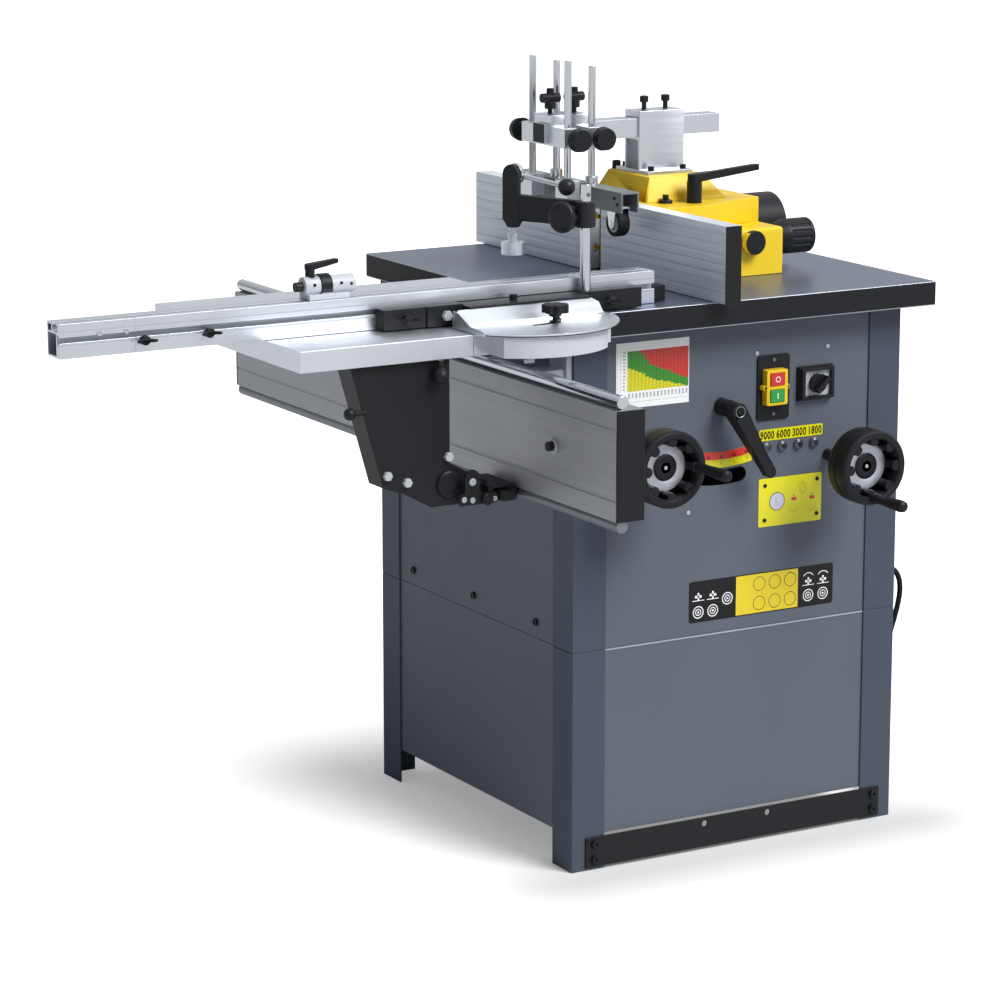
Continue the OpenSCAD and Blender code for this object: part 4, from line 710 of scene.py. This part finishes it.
def speedChart():
    # which speed suits which cutter: cells step from yellow through green to red
    sheet = emptySheet()
    addFlat(sheet, panelBox(*chart["sheet"]), "face", 0, foil["thick"])
    x0, z0, x1, z1 = chart["field"]
    columns, rows = chart["columns"], chart["rows"]
    addFlat(sheet, panelBox(x0, z0, x1, z1), "field", 4)
    u = (np.arange(columns) + 0.5) / columns
    red, green = np.interp(u, *chart["red"]), np.interp(u, *chart["green"])
    w, h = (x1 - x0) / columns, (z1 - z0) / rows
    gapX, gapZ = chart["gap"]
    for i in range(columns):
        for j in range(rows):
            v = (j + 0.5) / rows
            mark = 1 if v < red[i] else 2 if v > green[i] else 3
            x, z = x0 + i * w, z1 - (j + 1) * h
            addFlat(sheet, panelBox(x + gapX, z + gapZ, x + w - gapX, z + h - gapZ), "cell", mark)
    for j in range(0, rows, 2):
        addDigits(sheet, str(240 - 8 * j), 90, z1 - (j + 0.5) * h, 2.5, "line", 4)
    for i in range(columns):
        addDigits(sheet, str(1000 + 500 * i), x0 + (i + 0.5) * w, 739.5, 2.9, "line", 4, turn=math.pi / 2)
    for x in (78.6, 83.6):
        addFlat(sheet, panelBox(x, 746, x + 0.3, 809), "line", 4)
    addFlat(sheet, panelBox(x0, 730, x1, 730.3), "line", 4)
    keepSheet("speedChart", sheet, ["white", "foilRed", "foilYellow", "foilGreen", "foilBlack"])


speeds = {"sheet": (338, 645, 457.5, 663), "corner": 3.2, "middle": 654, "height": 12.0,
          "figures": {353: "9000", 383.4: "6000", 413.3: "3000", 442.6: "1800"}}


def speedLabel():
    sheet = emptySheet()
    addFlat(sheet, panelBox(*speeds["sheet"], speeds["corner"]), "face", 0, foil["thick"])
    for x, text in speeds["figures"].items():
        addDigits(sheet, text, x, speeds["middle"], speeds["height"], "line", 1, 0.7, advance=0.56)
    keepSheet("speedLabel", sheet, ["foilYellow", "foilBlack"])


# radii about the tilting axis of the red band's edges and of the yellow band's lower edge; angles in
# degrees from the right, and zero: where 0 stands, from straight down
tilt = {"axis": (268.6, 897.1), "top": 260.4, "middle": 272.4, "low": 285.6,
        "from": 236.5, "to": 281.4, "zero": -35.2, "first": 5, "last": 46}


def tiltScale():
    # red band over a yellow one, centred on the tilting axis, with a line for each degree
    sheet = emptySheet()
    axis, top, middle, low = np.array(tilt["axis"]), tilt["top"], tilt["middle"], tilt["low"]
    span = (48, tilt["from"], tilt["to"])
    addFlat(sheet, disc(*axis, low, *span, top), "face", 0, foil["thick"])
    addFlat(sheet, disc(*axis, middle, *span, top), "field", 1)
    addFlat(sheet, disc(*axis, middle + 0.25, *span, middle), "line", 2)
    for degree in range(tilt["first"], tilt["last"] + 1):
        a = math.radians(tilt["zero"] + degree)
        fifth = degree % 5 == 0
        across = np.array([math.cos(a), math.sin(a)]) * (0.45 if fifth else 0.28)
        down = np.array([math.sin(a), -math.cos(a)])
        start = axis + down * (middle + 0.4)
        end = start + down * (7.5 if fifth else 4.2)
        corners = (end - across, end + across, start + across, start - across)
        addFlat(sheet, [tuple(c) for c in corners], "figure", 2)
        if fifth:
            x, z = axis + down * (middle - 4.2)
            addDigits(sheet, str(degree), x, z, 5.0, "figure", 2, 0.9, a)
    keepSheet("tiltScale", sheet, ["foilYellow", "foilRed", "foilBlack"])


gauge = {"sheet": (339, 508, 457.5, 585), "corner": 3.0, "window": (373.5, 546.7), "lines": 7,
         "screws": ((350.4, 518.6), (449, 519.4), (350.4, 573.6), (449, 575)),
         "blocks": ((405.4, 547.6), (439.4, 546.4)), "block": (4.6, 2.6), "dial": (422.4, 561.4)}


def heightPlate():
    # sight glass for the spindle's height, with two arrows and a dial drawn in outline
    sheet = emptySheet()
    addFlat(sheet, panelBox(*gauge["sheet"], gauge["corner"]), "face", 0, foil["thick"])
    for x, z in gauge["screws"]:
        addFlat(sheet, disc(x, z, 3.3, 20), 1.6, 1, 0.8)
        addFlat(sheet, disc(x, z, 1.3, 6), 1.56, 4)
    x, z = gauge["window"]
    addFlat(sheet, disc(x, z, 14.6, 40), "field", 3)
    addFlat(sheet, disc(x, z, 13.4, 40), 1.9, 2, 0.5)
    for i in range(gauge["lines"]):
        addFlat(sheet, panelBox(x - 4.66, 540 + 2.2 * i, x + (i % 2) * 2, 540.32 + 2.2 * i), 1.86, 3)
    w, h = gauge["block"]
    for x, z in gauge["blocks"]:
        addFlat(sheet, panelBox(x - w, z - h, x + w, z + h), "field", 5)
        addFlat(sheet, [(x - 2.2, z + 4.4), (x + 2.2, z + 4.4), (x, z + 7.4)], "field", 6)
        addFlat(sheet, disc(x, z - 10.4, 9.6, 14, 200, 340, 9.2), "field", 6)
    x, z = gauge["dial"]
    addFlat(sheet, disc(x, z, 9.6, 24, 30, 150, 9.2), "field", 6)
    addFlat(sheet, disc(x, z, 7.0, 24, 0, 359.9, 6.6), "line", 6)
    addFlat(sheet, [(x - 1.2, z + 9.6), (x + 1.2, z + 9.6), (x, z + 13)], "figure", 5)
    for a in np.radians(90 + 72 * np.arange(5)):
        addFlat(sheet, disc(x + 4.2 * math.cos(a), z + 4.2 * math.sin(a), 1.0, 8), "figure", 6)
    inks = ["foilYellow", "blackOxide", "lens", "foilBlack", "foilBlack", "foilRed", "foilAmberDark"]
    keepSheet("heightPlate", sheet, inks)


decal = {"sheet": (212, 370, 483, 435.5), "corner": 4, "field": (299, 371.6, 416, 434),
         "wheels": ((229, 386), (256, 386), (283, 402), (436, 388), (464, 388)),
         "cutters": (229, 256, 436, 464), "guarded": (436, 464)}


def lowerDecal():
    # handwheels and cutter heads drawn in white, plain circles on the yellow field
    sheet = emptySheet()
    addFlat(sheet, panelBox(*decal["sheet"], decal["corner"]), "face", 0, foil["thick"])
    addFlat(sheet, panelBox(*decal["field"]), "field", 1)
    for x, z in decal["wheels"]:
        addRing(sheet, x, z, 10, 8.4, 2)
        addRing(sheet, x, z, 5.6, 4.2, 2)
        addFlat(sheet, disc(x, z, 2, 10), "figure", 2)
    for x in decal["cutters"]:
        addFlat(sheet, panelBox(x - 11, 404, x + 11, 405.2), "figure", 2)
        addFlat(sheet, panelBox(x - 1.6, 405, x + 1.6, 417), "figure", 2)
        addFlat(sheet, panelBox(x - 6, 409, x + 6, 413), "figure", 2)
    for x in decal["guarded"]:
        addFlat(sheet, disc(x, 413, 12, 10, 35, 145, 10.6), "figure", 2)
    for column in range(1, 4):
        for z in (387, 418):
            addRing(sheet, 313.5 + 29.3 * column, z, 11.5, 10.5, 0)
    keepSheet("lowerDecal", sheet, ["foilBlack", "foilAmber", "white"])


speedChart()
speedLabel()
tiltScale()
heightPlate()
lowerDecal()

# turned-out lip where the front's two sheets meet, painted paler than the panel as a highlight: its section
# in y and z, between two x
seam = {"section": ((3.2, 346.4), (1.6, 347.2), (1.6, 348.9), (3.2, 349.3)), "ends": (60, 542)}
lip = [(x, y, z) for y, z in seam["section"] for x in seam["ends"]]
lipFaces = [[0, 1, 3, 2], [2, 3, 5, 4], [4, 5, 7, 6], [0, 2, 4, 6], [7, 5, 3, 1]]
keep(newPiece("seamLip", lip, lipFaces, [finish["seamHighlight"]], 30), "machine", slot="grey_paint")
print("plates printed")

# handwheels: finish, slot, sides and (radius, distance out from the panel) of each ring or cap
wheelCentres = {"tilt_wheel": (468, 612), "height_wheel": (99, 648.4)}
wheelParts = {
    "Ring": ("ringAlu", "aluminium", 64, [
        (20, 99.3), (20, 100.2), (20.6, 100.6), (35.8, 100.6), (36.8, 99.8), (36.8, 98.2), (20, 98.2),
        (20, 99.3)]),
    "Cap": ("nylon", "black_plastic", 64, [
        (0, 102.6), (3.2, 102.6), (3.6, 103.0), (8.4, 103.0), (8.8, 102.4), (9.6, 102.4), (10, 103.1),
        (16.5, 103.1), (18.6, 102.6), (20.2, 101.2), (20.2, 98), (0, 98)]),
    # closed web behind the spokes and the deep skirt of the rim
    "Dish": ("nylon", "black_plastic", 96, [
        (36, 90), (50, 90), (50, 79), (51.5, 77), (54.5, 77), (57.5, 80), (58.7, 86), (58.9, 99), (50, 99),
        (50, 93), (36, 93), (36, 90)]),
    "Screw": ("zinc", "pale_steel", 32, [
        (0, 103.2), (1.0, 103.2), (2.6, 103.6), (3.0, 103.2), (3.0, 102), (0, 102)]),
}
for node, (x, z) in wheelCentres.items():
    for part, (coat, slot, sides, profile) in wheelParts.items():
        turned(node + part, profile, finish[coat], bodyOf[node], slot, centre=(x, 0, z), turns=sides)

# collar and hexagon-socket screw in the hub of the tilt lock
hub = (267, 0, 708)
collar = [(7.6, 50.2), (7.6, 50.9), (8.0, 51.2), (8.8, 51.2), (9.2, 50.7), (9.2, 49), (7.6, 49), (7.6, 50.2)]
turned("leverCollar", collar, finish["lamp"], "tilt_lock", "pale_steel", centre=hub, turns=48)
socket = [(0, 50.3), (2.6, 50.3), (3.0, 51.4), (4.6, 51.4), (5.2, 50.8), (5.2, 49), (0, 49)]
turned("leverScrew", socket, finish["blackOxide"], "tilt_lock", "black_steel", centre=hub, turns=6, smooth=20)

# rollers: centre of the axle at each, then (radius, place along the axle) of the turned parts
rollers = {"front_roller": (185, 175, 977), "rear_roller": (185, 441, 977)}
tyre = [(14.4, -9.4), (17, -10), (19.4, -9.8), (20.6, -8.4), (21, -6), (21, 6), (20.6, 8.4), (19.4, 9.8),
        (17, 10), (14.4, 9.4), (14.4, -9.4)]
rollerParts = {
    "Rim": [(11.4, -8.6), (13.8, -9.2), (14.5, -8.8), (14.5, 8.8), (13.8, 9.2), (11.4, 8.6), (11.4, -8.6)],
    "Web": [(3.4, -2), (12, -2), (12, 2), (3.4, 2), (3.4, -2)],
    "Hub": [(3.4, -9), (5.6, -9), (6.2, -8.4), (6.2, 8.4), (5.6, 9), (3.4, 9), (3.4, -9)],
}
spoke = {"count": 6, "half": 6.5, "outline": [(5.8, -1.1), (12, -1.4), (12, 1.4), (5.8, 1.1)],
         "faces": ([3, 2, 1, 0], [4, 5, 6, 7], [0, 1, 5, 4], [1, 2, 6, 5], [2, 3, 7, 6], [3, 0, 4, 7])}


def spokes(name, body, at):
    # flat bars from hub to rim: (radius, half width) turned about the axle by a, at both faces
    r, t = np.array(spoke["outline"]).T
    a = (2 * np.pi / spoke["count"] * np.arange(spoke["count"]))[:, None, None]
    x = np.array([-spoke["half"], spoke["half"]])[None, :, None]
    y, z = r * np.cos(a) - t * np.sin(a), r * np.sin(a) + t * np.cos(a)
    points = np.stack(np.broadcast_arrays(x, y, z), -1).reshape(-1, 3) + at
    faces = [[8 * i + v for v in face] for i in range(spoke["count"]) for face in spoke["faces"]]
    keep(newPiece(name, points, faces, [finish["whiteNylon"]], 30), body, slot="pale_steel")


for node, at in rollers.items():
    body = bodyOf[node]
    turned(node + "Tyre", tyre, finish["rubber"], body, "roller_rubber", "x", at, replaced=[node])
    for part, profile in rollerParts.items():
        turned(node + part, profile, finish["whiteNylon"], body, "pale_steel", "x", at)
    spokes(node + "Spokes", body, at)
print("wheels dressed")

screws = [  # name, centre on the surface in mm, head radius, axis, body, finish
    ("plateScrewTop", (362, 0, 773), 3.0, "-y", "machine", "lamp"),
    ("plateScrewLow", (362, 0, 688), 3.0, "-y", "machine", "lamp"),
    ("lugScrewLeft", (341, -10, 731), 2.4, "-y", "machine", "blackOxide"),
    ("lugScrewRight", (381, -10, 731), 2.4, "-y", "machine", "blackOxide"),
    ("collarScrew", (8, -26, 1056), 3.2, "-y", "hold_down", "lamp"),
    ("stopScrewLeft", (-431.4, 3.1, 952), 2.2, "-y", "stop_slider", "blackOxide"),
    ("stopScrewMiddle", (-388, 3.6, 952), 2.2, "-y", "stop_slider", "blackOxide"),
    ("stopScrewRight", (-372, 3.6, 950), 2.2, "-y", "stop_slider", "blackOxide"),
    ("extensionScrewLeft", (-770, -5, 913), 4.2, "-y", "extension", "zinc"),
    ("extensionScrewRight", (-729, -5, 913), 4.2, "-y", "extension", "zinc"),
    ("channelScrewHigh", (169, 160, 1018), 2.6, "-x", "right_rods", "blackOxide"),
    ("channelScrewLow", (169, 152, 1009), 2.6, "-x", "right_rods", "blackOxide"),
    ("bracketScrewLeft", (-224, -100, 884), 5.5, "z", "mitre_fence", "zinc"),
    ("bracketScrewRight", (8, -64, 884), 5.5, "z", "mitre_fence", "zinc"),
    ("quadrantScrewLeft", (-199, -111, 865), 5.5, "-y", "carriage", "zinc"),
    ("hingeBoltTop", (-245, -124, 668), 5.5, "-y", "carriage", "zinc"),
    ("hingeBoltLeft", (-259, -124, 643), 4.2, "-y", "carriage", "zinc"),
    ("hingeBoltMiddle", (-245, -124, 641), 4.2, "-y", "carriage", "zinc"),
    ("hingeBoltRight", (-208, -124, 640), 3.8, "-y", "carriage", "zinc"),
]
for name, at, r, axis, body, coat in screws:
    head = [(0, 0.5), (r * 0.42, 0.5), (r * 0.5, 1.5), (r * 0.82, 1.6), (r, 1.0), (r, -1.2), (0, -1.2)]
    slot = "black_steel" if coat == "blackOxide" else "pale_steel"
    turned(name, head, finish[coat], body, slot, axis, at, 24)

# painted shade: darker lines along the rail's front stand for the shade in its grooves; their heights, and y
# of the front
railShadeLines = {"front": -5.08, "heights": ((917.5, 919.6), (899.2, 900.6)),
             "pieces": (("railShadeLines", "mitre_fence", -716, 138), ("extensionShadeLines", "extension", -830, -717))}
for name, body, x0, x1 in railShadeLines["pieces"]:
    lines = emptySheet()
    for low, high in railShadeLines["heights"]:
        addFlat(lines, panelBox(x0, low, x1, high), railShadeLines["front"], 0)
    keepSheet(name, lines, ["grooveShade"], body, "aluminium", ())

# painted shade: a dark band under the mitre plate's round edge, from one angle to the other
edge = {"x": -115, "y": -48, "radius": 140.1, "low": 880.7, "high": 882.0,
        "from": 212, "to": 347, "steps": 49}
turn = np.radians(np.linspace(edge["from"], edge["to"], edge["steps"]))
rim = [(edge["x"] + edge["radius"] * math.cos(t), edge["y"] + edge["radius"] * math.sin(t), z)
       for z in (edge["low"], edge["high"]) for t in turn]
edgeShadePiece = newPiece("plateEdgeShade", rim, gridFaces(2, edge["steps"]), [finish["foilBlack"]], 30)
keep(edgeShadePiece, "mitre_fence", slot="black_steel")

# round grip of the clamp knob: a disc in front of its lobes, square to the arm
grip = {"along": 24, "height": 1022, "profile": [
    (0, 32.3), (14, 32.3), (19, 31.9), (22, 30.6), (23.4, 28.6), (23.4, 23), (22, 21), (0, 21)]}
gripAt = (clampArm["x"] + grip["along"] * math.cos(clampArm["turn"]),
          clampArm["y"] + grip["along"] * math.sin(clampArm["turn"]), grip["height"])
turned("clampGrip", grip["profile"], finish["bakelite"], "hold_down", "black_plastic", "acrossArm", gripAt)

# hinge under the sliding table's arm: an upright lug on a foot, a clamping disc and bolts
hinge = {"x": -245, "z": 674, "radius": 12, "front": -124, "thick": 3.8}
lugTop = disc(hinge["x"], hinge["z"], hinge["radius"], 12, 0, 180, hinge["radius"])[:13]
lugSides = [(-266, 634), (-204, 634), (-204, 648), (-233, 652), *lugTop, (-257, 652), (-266, 650)]
lug = emptySheet()
addFlat(lug, lugSides, hinge["front"], 0, hinge["thick"])
keepSheet("hingeLug", lug, ["blackCoat"], "carriage", "black_steel", ())
for name, at, r, depth in (("hingeDisc", (-272, -100, 664), 19, 5), ("hingeWheel", (-222, -124, 641), 9, 7)):
    profile = [(0, depth), (r - 2, depth), (r, depth - 1.5), (r, -0.5), (0, -0.5)]
    turned(name, profile, finish["nylon"], "carriage", "black_plastic", "-y", at, 40)

# signs on the two buttons and round the selector; y of the faces that carry them
signs = {"buttons": -14.05, "selector": -4.06, "strokes": -4.07, "at": (440, 730), "from": 15.5, "to": 18.6,
         "half": 0.35}
ring = emptySheet()
addFlat(ring, disc(361, 744, 4.6, 28, 0, 359.9, 3.3), signs["buttons"], 0)
keepSheet("stopMark", ring, ["white"], "stop", replaced=())
bar = emptySheet()
addFlat(bar, panelBox(360.2, 713.5, 361.8, 722.5), signs["buttons"], 0)
keepSheet("startMark", bar, ["white"], "start", replaced=())
dial = emptySheet()
for first in (20, 104):
    addFlat(dial, disc(*signs["at"], signs["to"], 20, first, first + 56, 18.0), signs["selector"], 0)
for a in np.radians((45, 90, 135)):
    ahead = np.array([math.cos(a), math.sin(a)])
    side = np.array([-math.sin(a), math.cos(a)]) * signs["half"]
    near, far = signs["at"] + ahead * signs["from"], signs["at"] + ahead * signs["to"]
    addFlat(dial, [tuple(c) for c in (near - side, far - side, far + side, near + side)], signs["strokes"], 0)
keepSheet("selectorMarks", dial, ["foilBlack"], replaced=())
print("screws and marks placed")
